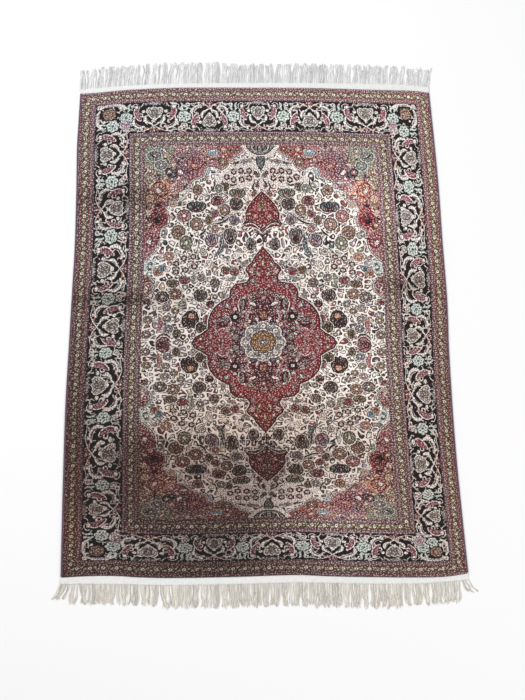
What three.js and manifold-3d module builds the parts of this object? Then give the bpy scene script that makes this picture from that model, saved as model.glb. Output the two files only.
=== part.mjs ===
// A hand-knotted medallion rug, about 1.22 m by 1.83 m, lying flat on a floor:
// one knotted pile cloth, an overcast cord along each side, and at each end a
// woven strip that runs out into a fringe of warp locks.
// Millimetres. X runs across the rug, Y along it to its far end, Z up.

import * as THREE from 'three';
import { mergeVertices } from 'three/addons/utils/BufferGeometryUtils.js';
import Module from 'manifold-3d';

const wasm = await Module();
wasm.setup();

// Driving sizes
const PILE_THICKNESS = 5;
const PILE_SHOULDER = 2;       // how far the pile's top edge is drawn in
const PILE_EDGE_HEIGHT = 3;    // where the pile's side is widest
const CORD_WIDTH = 5;
const CORD_SIDES = 8;
const STRIP_THICKNESS = 2.4;
const LOCK_THICKNESS = 1.8;
const LOCK_ROOT_WIDTH = 5.6;
const LOCK_TIP_WIDTH = 4.2;
const LOCK_OVERLAP = 4;        // how far a lock's root reaches into its strip
const GAP = 0.3;               // between neighbouring pieces
const PILE_CELLS_ACROSS = 34;
const PILE_CELLS_ALONG = 50;
const CORD_STEPS = 46;
const STRIP_STEPS = 44;
const FAR_LOCKS = 144;
const NEAR_LOCKS = 148;

// Where the cloth's four edges run, corners included
const LEFT_EDGE = [
  { y: -910, x: -624 }, { y: -600, x: -624 }, { y: -300, x: -622 }, { y: -100, x: -616 },
  { y: 100, x: -610 }, { y: 300, x: -604 }, { y: 500, x: -603 }, { y: 700, x: -604 },
  { y: 800, x: -601 }, { y: 922, x: -597 },
];
const RIGHT_EDGE = [
  { y: -917, x: 624 }, { y: -700, x: 616 }, { y: -500, x: 610 }, { y: -300, x: 608 },
  { y: -100, x: 609 }, { y: 0, x: 612 }, { y: 100, x: 613 }, { y: 300, x: 610 },
  { y: 500, x: 609 }, { y: 700, x: 604 }, { y: 905, x: 597 },
];
const FAR_EDGE = [
  { x: -597, y: 922 }, { x: -540, y: 925 }, { x: -440, y: 935 }, { x: -300, y: 941 },
  { x: -200, y: 941 }, { x: 0, y: 937 }, { x: 200, y: 932 }, { x: 400, y: 921 },
  { x: 540, y: 914 }, { x: 597, y: 905 },
];
const NEAR_EDGE = [
  { x: -624, y: -910 }, { x: -560, y: -907 }, { x: -500, y: -906 }, { x: -440, y: -908 },
  { x: -400, y: -912 }, { x: -300, y: -917 }, { x: -100, y: -917 }, { x: 100, y: -914 },
  { x: 200, y: -920 }, { x: 300, y: -924 }, { x: 480, y: -929 }, { x: 560, y: -927 },
  { x: 624, y: -917 },
];

// Outer edges of the two woven end strips
const FAR_STRIP_EDGE = [
  { x: -600, y: 941 }, { x: -500, y: 951 }, { x: -400, y: 957 }, { x: -300, y: 961 },
  { x: -200, y: 961 }, { x: 0, y: 959 }, { x: 200, y: 956 }, { x: 400, y: 949 },
  { x: 500, y: 943 }, { x: 600, y: 930 },
];
const NEAR_STRIP_EDGE = [
  { x: -626, y: -933 }, { x: -560, y: -934 }, { x: -440, y: -937 }, { x: -300, y: -943 },
  { x: -100, y: -943 }, { x: 100, y: -941 }, { x: 300, y: -948 }, { x: 480, y: -950 },
  { x: 624, y: -940 },
];

// The fringe, a row for each stretch: how far its locks reach past the strip, and
// how far their tips stand to the right of their roots at the stretch's two ends
const FAR_FRINGE = [
  { from: -600, to: -560, reach: 86, leanFrom: -4, leanTo: 4 },
  { from: -560, to: -420, reach: 89, leanFrom: 4, leanTo: 7 },
  { from: -420, to: -100, reach: 93, leanFrom: 7, leanTo: 3 },
  { from: -100, to: 300, reach: 84, leanFrom: 3, leanTo: 5 },
  { from: 300, to: 520, reach: 81, leanFrom: 5, leanTo: 8 },
  { from: 520, to: 556, reach: 74, leanFrom: 8, leanTo: -3 },
  { from: 556, to: 600, reach: 80, leanFrom: 2, leanTo: 18 },
];
const NEAR_FRINGE = [
  { from: -626, to: -596, reach: 54, leanFrom: -30, leanTo: -15 },
  { from: -596, to: -570, reach: 70, leanFrom: -15, leanTo: -4 },
  { from: -570, to: -446, reach: 69, leanFrom: 6, leanTo: -14 },
  { from: -446, to: -396, reach: 74, leanFrom: 2, leanTo: -9 },
  { from: -396, to: -322, reach: 71, leanFrom: 4, leanTo: -5 },
  { from: -322, to: -186, reach: 79, leanFrom: 5, leanTo: -4 },
  { from: -186, to: 140, reach: 80, leanFrom: 3, leanTo: -5 },
  { from: 140, to: 420, reach: 83, leanFrom: 2, leanTo: -3 },
  { from: 420, to: 596, reach: 75, leanFrom: 3, leanTo: -2 },
  { from: 596, to: 624, reach: 42, leanFrom: 14, leanTo: 27 },
];

// Soft folds left from storage, each a shallow trough between two points
const FOLDS = [
  { x0: -606, y0: 506, x1: -140, y1: 500, halfWidth: 34, depth: 1.1 },
  { x0: -610, y0: 92, x1: -170, y1: 84, halfWidth: 36, depth: 0.9 },
  { x0: 360, y0: 124, x1: 612, y1: 128, halfWidth: 34, depth: 0.8 },
  { x0: -624, y0: -452, x1: 60, y1: -470, halfWidth: 36, depth: 0.8 },
  { x0: 52, y0: -916, x1: 46, y1: -470, halfWidth: 30, depth: 1.1 },
  { x0: -6, y0: 937, x1: 4, y1: 730, halfWidth: 30, depth: 0.8 },
];
const SWELL_HEIGHT = 0.5;
const SWELL_LENGTH_X = 560;
const SWELL_LENGTH_Y = 690;

const COLOURS = {
  pile: 0x84605c,
  cord: 0x5e4058,
  farEnd: 0xe2e4e6,
  nearEnd: 0xdcd8d0,
};

// A smooth reading of column `out` at `at` in column `by`
function readTable(rows, by, out, at) {
  const last = rows.length - 1;
  let i = 0;
  while (i < last - 1 && rows[i + 1][by] < at) i++;
  const slope = (a, b) => (rows[b][out] - rows[a][out]) / (rows[b][by] - rows[a][by]);
  const startSlope = slope(Math.max(i - 1, 0), i + 1);
  const endSlope = slope(i, Math.min(i + 2, last));
  const span = rows[i + 1][by] - rows[i][by];
  const t = THREE.MathUtils.clamp((at - rows[i][by]) / span, 0, 1);
  const t2 = t * t;
  const t3 = t2 * t;
  return (2 * t3 - 3 * t2 + 1) * rows[i][out] + (t3 - 2 * t2 + t) * span * startSlope
    + (3 * t2 - 2 * t3) * rows[i + 1][out] + (t3 - t2) * span * endSlope;
}

// A repeatable unevenness between -1 and 1 for item `i`
function uneven(i, seed) {
  return Math.sin(i * 1.73 + seed) * 0.55 + Math.sin(i * 4.31 + seed * 2.7) * 0.45;
}

// Height of the cloth's surface above its plain thickness
function relief(x, y) {
  let height = SWELL_HEIGHT * Math.sin((2 * Math.PI * x) / SWELL_LENGTH_X + 0.8)
    * Math.sin((2 * Math.PI * y) / SWELL_LENGTH_Y + 0.3);
  for (const fold of FOLDS) {
    const dx = fold.x1 - fold.x0;
    const dy = fold.y1 - fold.y0;
    const along = THREE.MathUtils.clamp(
      ((x - fold.x0) * dx + (y - fold.y0) * dy) / (dx * dx + dy * dy), 0, 1);
    const away = Math.hypot(x - fold.x0 - along * dx, y - fold.y0 - along * dy);
    height -= fold.depth * Math.exp(-((away / fold.halfWidth) ** 2));
  }
  return height;
}

// The cloth's plane, blended from its four edges. s runs 0 to 1 across, t along;
// `inset` draws all four edges in.
function clothPoint(s, t, inset, sideInset) {
  const mix = THREE.MathUtils.lerp;
  const near = (u) => {
    const x = mix(NEAR_EDGE[0].x, NEAR_EDGE.at(-1).x, u);
    return [x, readTable(NEAR_EDGE, 'x', 'y', x)];
  };
  const far = (u) => {
    const x = mix(FAR_EDGE[0].x, FAR_EDGE.at(-1).x, u);
    return [x, readTable(FAR_EDGE, 'x', 'y', x)];
  };
  const side = (rows, u) => {
    const y = mix(rows[0].y, rows.at(-1).y, u);
    return [readTable(rows, 'y', 'x', y), y];
  };
  const n = near(s);
  const f = far(s);
  const l = side(LEFT_EDGE, t);
  const r = side(RIGHT_EDGE, t);
  const corner = [near(0), near(1), far(0), far(1)];
  const point = [0, 1].map((k) => (1 - t) * n[k] + t * f[k] + (1 - s) * l[k] + s * r[k]
    - (1 - s) * (1 - t) * corner[0][k] - s * (1 - t) * corner[1][k]
    - (1 - s) * t * corner[2][k] - s * t * corner[3][k]);
  point[0] += (inset + sideInset) * (1 - 2 * s);
  point[1] += inset * (1 - 2 * t);
  return point;
}

function meshGeometry(positions, triangles) {
  const geometry = new THREE.BufferGeometry();
  geometry.setAttribute('position', new THREE.Float32BufferAttribute(positions, 3));
  geometry.setIndex(triangles);
  return geometry;
}

// The knotted cloth: a gently uneven top, a rounded shoulder and a flat underside
function pileGeometry() {
  const sideInset = CORD_WIDTH + GAP;
  const columns = PILE_CELLS_ACROSS;
  const rows = PILE_CELLS_ALONG;
  const positions = [];
  const triangles = [];
  const topIndex = (i, j) => j * (columns + 1) + i;
  for (let j = 0; j <= rows; j++) {
    for (let i = 0; i <= columns; i++) {
      const [x, y] = clothPoint(i / columns, j / rows, PILE_SHOULDER, sideInset);
      positions.push(x, y, PILE_THICKNESS + relief(x, y));
    }
  }
  for (let j = 0; j < rows; j++) {
    for (let i = 0; i < columns; i++) {
      const a = topIndex(i, j);
      const b = topIndex(i + 1, j);
      const c = topIndex(i + 1, j + 1);
      const d = topIndex(i, j + 1);
      triangles.push(a, b, c, a, c, d);
    }
  }
  const rim = [];
  for (let i = 0; i < columns; i++) rim.push([i, 0]);
  for (let j = 0; j < rows; j++) rim.push([columns, j]);
  for (let i = columns; i > 0; i--) rim.push([i, rows]);
  for (let j = rows; j > 0; j--) rim.push([0, j]);
  const side = positions.length / 3;
  const floor = side + rim.length;
  for (const height of [PILE_EDGE_HEIGHT, 0]) {
    for (const [i, j] of rim) {
      positions.push(...clothPoint(i / columns, j / rows, 0, sideInset), height);
    }
  }
  rim.forEach(([i, j], k) => {
    const next = (k + 1) % rim.length;
    const topA = topIndex(i, j);
    const topB = topIndex(...rim[next]);
    triangles.push(side + k, side + next, topB, side + k, topB, topA);
    triangles.push(floor + k, floor + next, side + next, floor + k, side + next, side + k);
  });
  const outline = rim.map((_, k) => new THREE.Vector2(
    positions[3 * (floor + k)], positions[3 * (floor + k) + 1]));
  for (const [a, b, c] of THREE.ShapeUtils.triangulateShape(outline, [])) {
    triangles.push(floor + a, floor + c, floor + b);
  }
  return meshGeometry(positions, triangles);
}

// A closed tube of rings that all have the same number of points
function ringedGeometry(rings) {
  const sides = rings[0].length;
  const positions = rings.flat(2);
  const triangles = [];
  for (let r = 0; r < rings.length - 1; r++) {
    for (let k = 0; k < sides; k++) {
      const next = (k + 1) % sides;
      const a = r * sides + k;
      const b = r * sides + next;
      triangles.push(a, b, b + sides, a, b + sides, a + sides);
    }
  }
  const end = (rings.length - 1) * sides;
  for (let k = 1; k < sides - 1; k++) {
    triangles.push(0, k + 1, k);
    triangles.push(end, end + k, end + k + 1);
  }
  return meshGeometry(positions, triangles);
}

// The overcast cord along one side edge, lying on its flat underside
function cordGeometry(s) {
  const rows = s ? RIGHT_EDGE : LEFT_EDGE;
  const inward = s ? -1 : 1;
  const radius = CORD_WIDTH / 2 / Math.cos(Math.PI / CORD_SIDES);
  const rings = [];
  for (let step = 0; step <= CORD_STEPS; step++) {
    const y = THREE.MathUtils.lerp(rows[0].y, rows.at(-1).y, step / CORD_STEPS);
    const centre = readTable(rows, 'y', 'x', y) + inward * (CORD_WIDTH / 2);
    const ring = [];
    for (let k = 0; k < CORD_SIDES; k++) {
      const angle = -(2 * Math.PI * (k + 0.5)) / CORD_SIDES;
      ring.push([centre + radius * Math.cos(angle), y, CORD_WIDTH / 2 + radius * Math.sin(angle)]);
    }
    rings.push(ring);
  }
  return ringedGeometry(rings);
}

// The woven strip between the pile's end and the fringe
function stripGeometry(pileEdge, stripEdge, outward) {
  const rings = [];
  for (let step = 0; step <= STRIP_STEPS; step++) {
    const u = step / STRIP_STEPS;
    const innerX = THREE.MathUtils.lerp(pileEdge[0].x, pileEdge.at(-1).x, u);
    const outerX = THREE.MathUtils.lerp(stripEdge[0].x, stripEdge.at(-1).x, u);
    const inner = [innerX, readTable(pileEdge, 'x', 'y', innerX) + outward * GAP];
    const outer = [outerX, readTable(stripEdge, 'x', 'y', outerX)];
    const ring = [[...inner, 0], [...outer, 0], [...outer, STRIP_THICKNESS], [...inner, STRIP_THICKNESS]];
    rings.push(outward > 0 ? ring : ring.reverse());
  }
  return ringedGeometry(rings);
}

// One fringe lock: four-sided, level on the floor, with a slight bend halfway
function lockGeometry(root, tip, bend) {
  const stations = [
    { at: 0, width: LOCK_ROOT_WIDTH },
    { at: 0.5, width: (LOCK_ROOT_WIDTH + LOCK_TIP_WIDTH) / 2 },
    { at: 1, width: LOCK_TIP_WIDTH },
  ];
  const outward = Math.sign(tip[1] - root[1]);
  const rings = stations.map(({ at, width }) => {
    const x = THREE.MathUtils.lerp(root[0], tip[0], at) + bend * Math.sin(Math.PI * at);
    const y = THREE.MathUtils.lerp(root[1], tip[1], at);
    const half = (outward * width) / 2;
    return [
      [x - half, y, 0], [x - half, y, LOCK_THICKNESS],
      [x + half, y, LOCK_THICKNESS], [x + half, y, 0],
    ];
  });
  return ringedGeometry(rings);
}

function toSolid(geometry) {
  const merged = mergeVertices(geometry, 1e-5);
  return new wasm.Manifold(new wasm.Mesh({
    numProp: 3,
    vertProperties: Float32Array.from(merged.attributes.position.array),
    triVerts: Uint32Array.from(merged.index.array),
  }));
}

function fromSolid(solid) {
  const mesh = solid.getMesh();
  return meshGeometry(Array.from(mesh.vertProperties), Array.from(mesh.triVerts));
}

// An end of the rug: its strip with the locks' roots joined into it
function endGeometry(pileEdge, stripEdge, fringe, lockCount, outward) {
  let solid = toSolid(stripGeometry(pileEdge, stripEdge, outward));
  const first = stripEdge[0].x;
  const pitch = (stripEdge.at(-1).x - first) / lockCount;
  for (let i = 0; i < lockCount; i++) {
    const x = first + (i + 0.5) * pitch;
    const stretch = fringe.find((row) => x < row.to) ?? fringe.at(-1);
    const share = (x - stretch.from) / (stretch.to - stretch.from);
    const lean = THREE.MathUtils.lerp(stretch.leanFrom, stretch.leanTo, share) + uneven(i, 1) * 0.6;
    const reach = stretch.reach * (1 + 0.035 * uneven(i, 5));
    const y = readTable(stripEdge, 'x', 'y', x);
    const root = [x, y - outward * LOCK_OVERLAP];
    const tip = [x + lean, y + outward * reach];
    solid = solid.add(toSolid(lockGeometry(root, tip, uneven(i, 9) * 0.4)));
  }
  return fromSolid(solid);
}

function addPiece(parent, name, geometry, color, roughness) {
  const material = new THREE.MeshStandardMaterial({ color, roughness, metalness: 0 });
  const mesh = new THREE.Mesh(geometry, material);
  mesh.name = name;
  parent.add(mesh);
}

const rug = new THREE.Group();
rug.name = 'rug';
addPiece(rug, 'pile', pileGeometry(), COLOURS.pile, 0.8);
addPiece(rug, 'side_cord_left', cordGeometry(0), COLOURS.cord, 0.75);
addPiece(rug, 'side_cord_right', cordGeometry(1), COLOURS.cord, 0.75);
addPiece(rug, 'end_far', endGeometry(FAR_EDGE, FAR_STRIP_EDGE, FAR_FRINGE, FAR_LOCKS, 1),
  COLOURS.farEnd, 0.9);
addPiece(rug, 'end_near', endGeometry(NEAR_EDGE, NEAR_STRIP_EDGE, NEAR_FRINGE, NEAR_LOCKS, -1),
  COLOURS.nearEnd, 0.9);

// The origin is under the middle of the whole rug, on the floor
const middle = new THREE.Box3().setFromObject(rug).getCenter(new THREE.Vector3());
rug.position.set(-middle.x, -middle.y, 0);

export default rug;
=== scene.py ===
# Looks of the kashmir rug: the knotted pile with its pattern, the overcast side
# cords, and at each end a woven strip with its warp fringe.

import math
import random

import bpy
import numpy as np
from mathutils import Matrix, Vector
from mathutils.geometry import delaunay_2d_cdt


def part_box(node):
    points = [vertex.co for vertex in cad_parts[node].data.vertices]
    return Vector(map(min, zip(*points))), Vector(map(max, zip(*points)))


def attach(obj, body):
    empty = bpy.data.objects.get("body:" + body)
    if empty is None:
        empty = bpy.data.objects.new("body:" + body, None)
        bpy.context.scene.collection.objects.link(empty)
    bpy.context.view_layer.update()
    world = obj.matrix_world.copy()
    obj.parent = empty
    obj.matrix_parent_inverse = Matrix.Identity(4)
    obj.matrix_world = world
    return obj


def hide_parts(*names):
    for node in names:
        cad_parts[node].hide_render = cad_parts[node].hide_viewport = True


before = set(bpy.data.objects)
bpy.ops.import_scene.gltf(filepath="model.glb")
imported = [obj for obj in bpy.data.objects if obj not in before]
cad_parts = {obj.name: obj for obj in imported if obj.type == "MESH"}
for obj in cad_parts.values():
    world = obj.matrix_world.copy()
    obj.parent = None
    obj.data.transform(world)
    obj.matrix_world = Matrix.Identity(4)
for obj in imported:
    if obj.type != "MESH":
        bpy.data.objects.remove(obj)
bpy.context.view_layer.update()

# Sizes in millimetres, in the rug's own plan with x across and y to the far end

PILE_TOP = 5.0
PILE_EDGE_TOP = 3.0
PILE_SHOULDER = 2.0
CORD_WIDTH = 5.0
STRIP_THICKNESS = 2.2
STRIP_GAP = 0.3

# Where the cloth's four edges run: (place along the edge, where the edge is)
LEFT_EDGE = [(-910, -624), (-600, -624), (-300, -622), (-100, -616), (100, -610), (300, -604),
             (500, -603), (700, -604), (800, -601), (922, -597)]
RIGHT_EDGE = [(-917, 624), (-700, 616), (-500, 610), (-300, 608), (-100, 609), (0, 612),
              (100, 613), (300, 610), (500, 609), (700, 604), (905, 597)]
FAR_EDGE = [(-597, 922), (-540, 925), (-440, 935), (-300, 941), (-200, 941), (0, 937),
            (200, 932), (400, 921), (540, 914), (597, 905)]
NEAR_EDGE = [(-624, -910), (-560, -907), (-500, -906), (-440, -908), (-400, -912), (-300, -917),
             (-100, -917), (100, -914), (200, -920), (300, -924), (480, -929), (560, -927),
             (624, -917)]
FAR_STRIP_EDGE = [(-600, 941), (-500, 951), (-400, 957), (-300, 961), (-200, 961), (0, 959),
                  (200, 956), (400, 949), (500, 943), (600, 930)]
NEAR_STRIP_EDGE = [(-626, -933), (-560, -934), (-440, -937), (-300, -943), (-100, -943),
                   (100, -941), (300, -948), (480, -950), (624, -940)]

# The fringe by stretches: (from x, to x, reach, lean at its start, lean at its end)
FAR_FRINGE = [(-600, -560, 86, -4, 4), (-560, -420, 89, 4, 7), (-420, -100, 93, 7, 3),
              (-100, 300, 84, 3, 5), (300, 520, 81, 5, 8), (520, 556, 74, 8, -3),
              (556, 600, 80, 2, 18)]
NEAR_FRINGE = [(-626, -596, 54, -30, -15), (-596, -570, 70, -15, -4), (-570, -446, 69, 6, -14),
               (-446, -396, 74, 2, -9), (-396, -322, 71, 4, -5), (-322, -186, 79, 5, -4),
               (-186, 140, 80, 3, -5), (140, 420, 83, 2, -3), (420, 596, 75, 3, -2),
               (596, 624, 42, 14, 27)]

# Soft storage folds: (x0, y0, x1, y1, half width, depth)
FOLDS = [(-606, 506, -140, 500, 34, 1.1), (-610, 92, -170, 84, 36, 0.9),
         (360, 124, 612, 128, 34, 0.8), (-624, -452, 60, -470, 36, 0.8),
         (52, -916, 46, -470, 30, 1.1), (-6, 937, 4, 730, 30, 0.8)]
SWELL_HEIGHT = 0.5
SWELL_LENGTHS = (560, 690)

# The pattern is charted on a true rectangle, half widths and lengths of its bands
CHART_HALF = (610, 915)
BORDER_GROUND = (620, 925)
PILE_HALF = (604.7, 915)
BLACK_BAND_OUT = (551, 856)
BLACK_BAND_IN = (440, 745)
FIELD_GROUND = (460, 765)
FIELD_HALF = (387, 692)
BAND_MIDDLE = (495, 800)

# How the weaver's beat spread the chart: (charted, woven)
ACROSS_BEAT = [(-610, -610), (-550, -549), (-440, -432), (-387, -378), (-238, -214), (0, 13),
               (238, 249), (387, 406), (440, 460), (550, 557), (610, 610)]
ALONG_BEAT = [(-915, -915), (-855, -863), (-745, -771), (-692, -719), (-599, -660),
              (-520, -593), (-384, -469), (-338, -413), (0, -93), (338, 260), (384, 327),
              (520, 489), (599, 585), (692, 676), (745, 732), (855, 857), (915, 915)]
# How far the pattern's middle leans to the right, by place along the chart
LEAN = [(-915, 0), (-700, 8), (-400, 8), (0, 0), (915, 0)]

# Dyed yarns
YARNS = {
    "ink": (27, 18, 22), "maroon": (92, 30, 42), "madder": (150, 46, 56),
    "brick": (164, 78, 66), "crimson": (154, 58, 70), "rose": (176, 118, 124),
    "mauve": (146, 112, 128), "plum": (92, 62, 80), "lilac": (180, 164, 184),
    "ivory": (244, 236, 230), "cream": (226, 208, 178), "mint": (214, 226, 220),
    "teal": (46, 64, 66), "slate": (102, 110, 118), "sky": (160, 188, 206),
    "olive": (112, 102, 70), "gold": (138, 120, 90), "tan": (152, 126, 104),
    "brown": (84, 58, 50), "grey": (146, 140, 138), "sage": (142, 150, 130),
    "peach": (216, 160, 136), "dusk": (108, 84, 94), "stone": (122, 112, 106),
    "clay": (148, 88, 88), "wine": (146, 84, 104), "heather": (137, 108, 111),
    "garden": (226, 214, 208), "night": (27, 18, 22), "amber": (158, 118, 72),
}
# How much fine knotting a yarn's areas carry: 2 for a ground packed with small blossoms,
# less than 0 for a dark ground with light curls
FINE = {"garden": 2, "night": -0.7, "ink": 0.1}
FINE_OTHERS = 0.75
BLOSSOM_YARNS = ("ivory", "grey", "stone", "ivory", "tan", "slate", "rose", "dusk", "cream", "sage",
                 "brown", "clay", "ivory", "lilac")


# Reading the edge tables


def read_table(rows, at):
    """A smooth reading of the rows' second column at places in their first."""
    rows = np.array(rows, float)
    place, value = rows[:, 0], rows[:, 1]
    at = np.asarray(at, float)
    i = np.clip(np.searchsorted(place, at, side="right") - 1, 0, len(place) - 2)
    before = np.maximum(i - 1, 0)
    after = np.minimum(i + 2, len(place) - 1)
    span = place[i + 1] - place[i]
    slope_in = (value[i + 1] - value[before]) / (place[i + 1] - place[before])
    slope_out = (value[after] - value[i]) / (place[after] - place[i])
    t = np.clip((at - place[i]) / span, 0, 1)
    return (
        (2 * t**3 - 3 * t**2 + 1) * value[i]
        + (t**3 - 2 * t**2 + t) * span * slope_in
        + (3 * t**2 - 2 * t**3) * value[i + 1]
        + (t**3 - t**2) * span * slope_out
    )


def edge_line(rows, share):
    """Place along an edge and where the edge is, at a share of its length."""
    place = rows[0][0] + (rows[-1][0] - rows[0][0]) * share
    return place, read_table(rows, place)


def woven(chart):
    """Charted points to where they lie on the rug, in the rug's plan."""
    lean = np.interp(chart[:, 1], *zip(*LEAN)) * (1 - (chart[:, 0] / CHART_HALF[0]) ** 2)
    x = np.interp(chart[:, 0], *zip(*ACROSS_BEAT)) + lean
    y = np.interp(chart[:, 1], *zip(*ALONG_BEAT))
    s = (x / CHART_HALF[0] + 1) / 2
    t = (y / CHART_HALF[1] + 1) / 2
    near = edge_line(NEAR_EDGE, s)
    far = edge_line(FAR_EDGE, s)
    left = edge_line(LEFT_EDGE, t)[::-1]
    right = edge_line(RIGHT_EDGE, t)[::-1]
    corner = [
        (NEAR_EDGE[0][0], NEAR_EDGE[-1][0], FAR_EDGE[0][0], FAR_EDGE[-1][0]),
        (NEAR_EDGE[0][1], NEAR_EDGE[-1][1], FAR_EDGE[0][1], FAR_EDGE[-1][1]),
    ]
    plan = []
    for k in (0, 1):
        a, b, c, d = corner[k]
        plan.append(
            (1 - t) * near[k] + t * far[k] + (1 - s) * left[k] + s * right[k]
            - (1 - s) * (1 - t) * a - s * (1 - t) * b - (1 - s) * t * c - s * t * d
        )
    return np.stack(plan, 1)


def relief(plan):
    """How far the folds and swells lift the cloth's top."""
    x, y = plan[:, 0], plan[:, 1]
    height = (
        SWELL_HEIGHT
        * np.sin(2 * math.pi * x / SWELL_LENGTHS[0] + 0.8)
        * np.sin(2 * math.pi * y / SWELL_LENGTHS[1] + 0.3)
    )
    for x0, y0, x1, y1, half_width, depth in FOLDS:
        dx, dy = x1 - x0, y1 - y0
        along = np.clip(((x - x0) * dx + (y - y0) * dy) / (dx * dx + dy * dy), 0, 1)
        away = np.hypot(x - x0 - along * dx, y - y0 - along * dy)
        height = height - depth * np.exp(-((away / half_width) ** 2))
    return height


# The rug's plan starts at its own middle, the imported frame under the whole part's
MM = 0.001
PLAN_ORIGIN = (
    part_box("side_cord_right")[1][0] - RIGHT_EDGE[0][1] * MM,
    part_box("side_cord_left")[0][1] - LEFT_EDGE[0][0] * MM,
)


def placed(plan, height):
    """Points of the rug's plan and their heights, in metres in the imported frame."""
    return np.stack(
        [plan[:, 0] * MM + PLAN_ORIGIN[0], plan[:, 1] * MM + PLAN_ORIGIN[1], height * MM], 1
    )


# Drawing the chart: a motif is a list of (outline, yarn), later ones on top


def smooth(spine, steps):
    """A smooth line through a few points."""
    p = np.array(spine, float)
    p = np.vstack([2 * p[0] - p[1], p, 2 * p[-1] - p[-2]])
    out = []
    for i in range(1, len(p) - 2):
        for k in range(steps):
            t = k / steps
            out.append(
                0.5 * (2 * p[i] + (p[i + 1] - p[i - 1]) * t
                       + (2 * p[i - 1] - 5 * p[i] + 4 * p[i + 1] - p[i + 2]) * t**2
                       + (3 * p[i] - p[i - 1] - 3 * p[i + 1] + p[i + 2]) * t**3)
            )
    out.append(p[-2])
    return np.array(out)


def disc(x, y, r, sides=8, squash=1.0):
    """A round outline of a few sides, squashed along y by a share."""
    angle = np.arange(sides) * 2 * math.pi / sides + 0.3
    return np.stack([x + r * np.cos(angle), y + r * squash * np.sin(angle)], 1)


def scallop(x, y, r, lobes, depth=0.2, squash=1.0, turn=0.0):
    """A round flower's outline, its petals notched by a share of the radius."""
    steps = lobes * (4 if r > 18 else 2)
    angle = np.arange(steps) * 2 * math.pi / steps
    notch = 1 - depth * np.abs(np.cos(angle * lobes / 2)) ** 4
    return np.stack(
        [x + r * notch * np.cos(angle + turn), y + r * squash * notch * np.sin(angle + turn)], 1
    )


def star(x, y, r, points, waist, turn=0.0, squash=1.0):
    """A star whose waist is a share of its radius, for the dark lines between petals."""
    steps = 2 * points
    angle = np.arange(steps) * 2 * math.pi / steps
    reach = np.where(np.arange(steps) % 2, r * waist, r)
    return np.stack(
        [x + reach * np.cos(angle + turn), y + reach * squash * np.sin(angle + turn)], 1
    )


def lozenge(x, y, half_x, half_y):
    """A four-sided outline that stands on its corner."""
    return np.array([(x - half_x, y), (x, y - half_y), (x + half_x, y), (x, y + half_y)], float)


def box(x0, y0, x1, y1):
    """A rectangle's outline."""
    return np.array([(x0, y0), (x1, y0), (x1, y1), (x0, y1)], float)


def sideways(line):
    """For each point of a line, a step of one to its left."""
    way = np.gradient(line, axis=0)
    way /= np.maximum(np.hypot(way[:, 0], way[:, 1]), 1e-6)[:, None]
    return np.stack([-way[:, 1], way[:, 0]], 1)


def strip(spine, width, steps=3):
    """A line of even width."""
    line = smooth(spine, steps)
    side = sideways(line) * width / 2
    return np.vstack([line + side, (line - side)[::-1]])


def leaf(spine, width, teeth=0, steps=4):
    """A leaf along a curve, pointed at both ends and toothed along its edges."""
    line = smooth(spine, steps)
    t = np.linspace(0, 1, len(line))
    half = width / 2 * np.sin(math.pi * np.clip(t * 0.94 + 0.03, 0, 1)) ** 0.6
    if teeth:
        half = half * (1 + 0.16 * np.where(np.arange(len(line)) % 2, 1, -1))
    side = sideways(line) * half[:, None]
    return np.vstack([line + side, (line - side)[::-1]])


def drop(x, y, length, width, turn):
    """A petal or bud that starts at a point and ends round, turned from +y."""
    t = np.array((0, 0.3, 0.6, 0.85, 1))
    half = width / 2 * np.sin(math.pi * t**1.5) ** 0.8
    local = np.vstack([
        np.stack([half, t * length], 1), np.stack([-half, t * length], 1)[-2:0:-1]
    ])
    c, s = math.cos(turn), math.sin(turn)
    return np.stack(
        [x + local[:, 0] * c - local[:, 1] * s, y + local[:, 0] * s + local[:, 1] * c], 1
    )


def spaced_round(count, r, start=0.0, squash=1.0):
    """Places evenly spaced on a circle, the first one a share of a space along."""
    angles = [2 * math.pi * (k + start) / count for k in range(count)]
    return [(r * math.cos(a), r * squash * math.sin(a)) for a in angles]


def rosette(x, y, r, petals, spokes, centre, squash=1.0, lobes=8, outline="ink"):
    """A round flower of notched petals with dark spokes about its middle."""
    motif = [
        (scallop(x, y, r * 1.14, lobes, 0.12, squash), outline),
        (scallop(x, y, r, lobes, 0.2, squash), petals),
    ]
    for dx, dy in spaced_round(lobes, r * 0.52, 0.5, squash):
        motif.append((disc(x + dx, y + dy, r * 0.13, 5), spokes))
    motif.append((disc(x, y, r * 0.24, 7, squash), centre))
    return motif


def ring_flower(x, y, r, ring, centre, edge="ivory"):
    """A small flower with a dark ring about a light eye."""
    return [
        (disc(x, y, r * 1.22, 10), edge),
        (scallop(x, y, r * 1.12, 6, 0.16), ring),
        (disc(x, y, r * 0.44, 7), "ivory"),
        (disc(x, y, r * 0.2, 5), centre),
    ]


def aster(x, y, r, petals, ribs, centre, squash=1.0, edge="ivory"):
    """A broad flower of many fine ribs, in a light outline."""
    return [
        (disc(x, y, r * 1.12, 16, squash), edge),
        (scallop(x, y, r * 1.02, 10, 0.1, squash), "ink"),
        (scallop(x, y, r * 0.9, 10, 0.12, squash), petals),
        (star(x, y, r * 0.86, 10, 0.5, 0, squash), ribs),
        (scallop(x, y, r * 0.52, 10, 0.1, squash), petals),
        (star(x, y, r * 0.5, 5, 0.45, 0.2, squash), "ink"),
        (disc(x, y, r * 0.24, 7, squash), centre),
    ]


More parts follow.
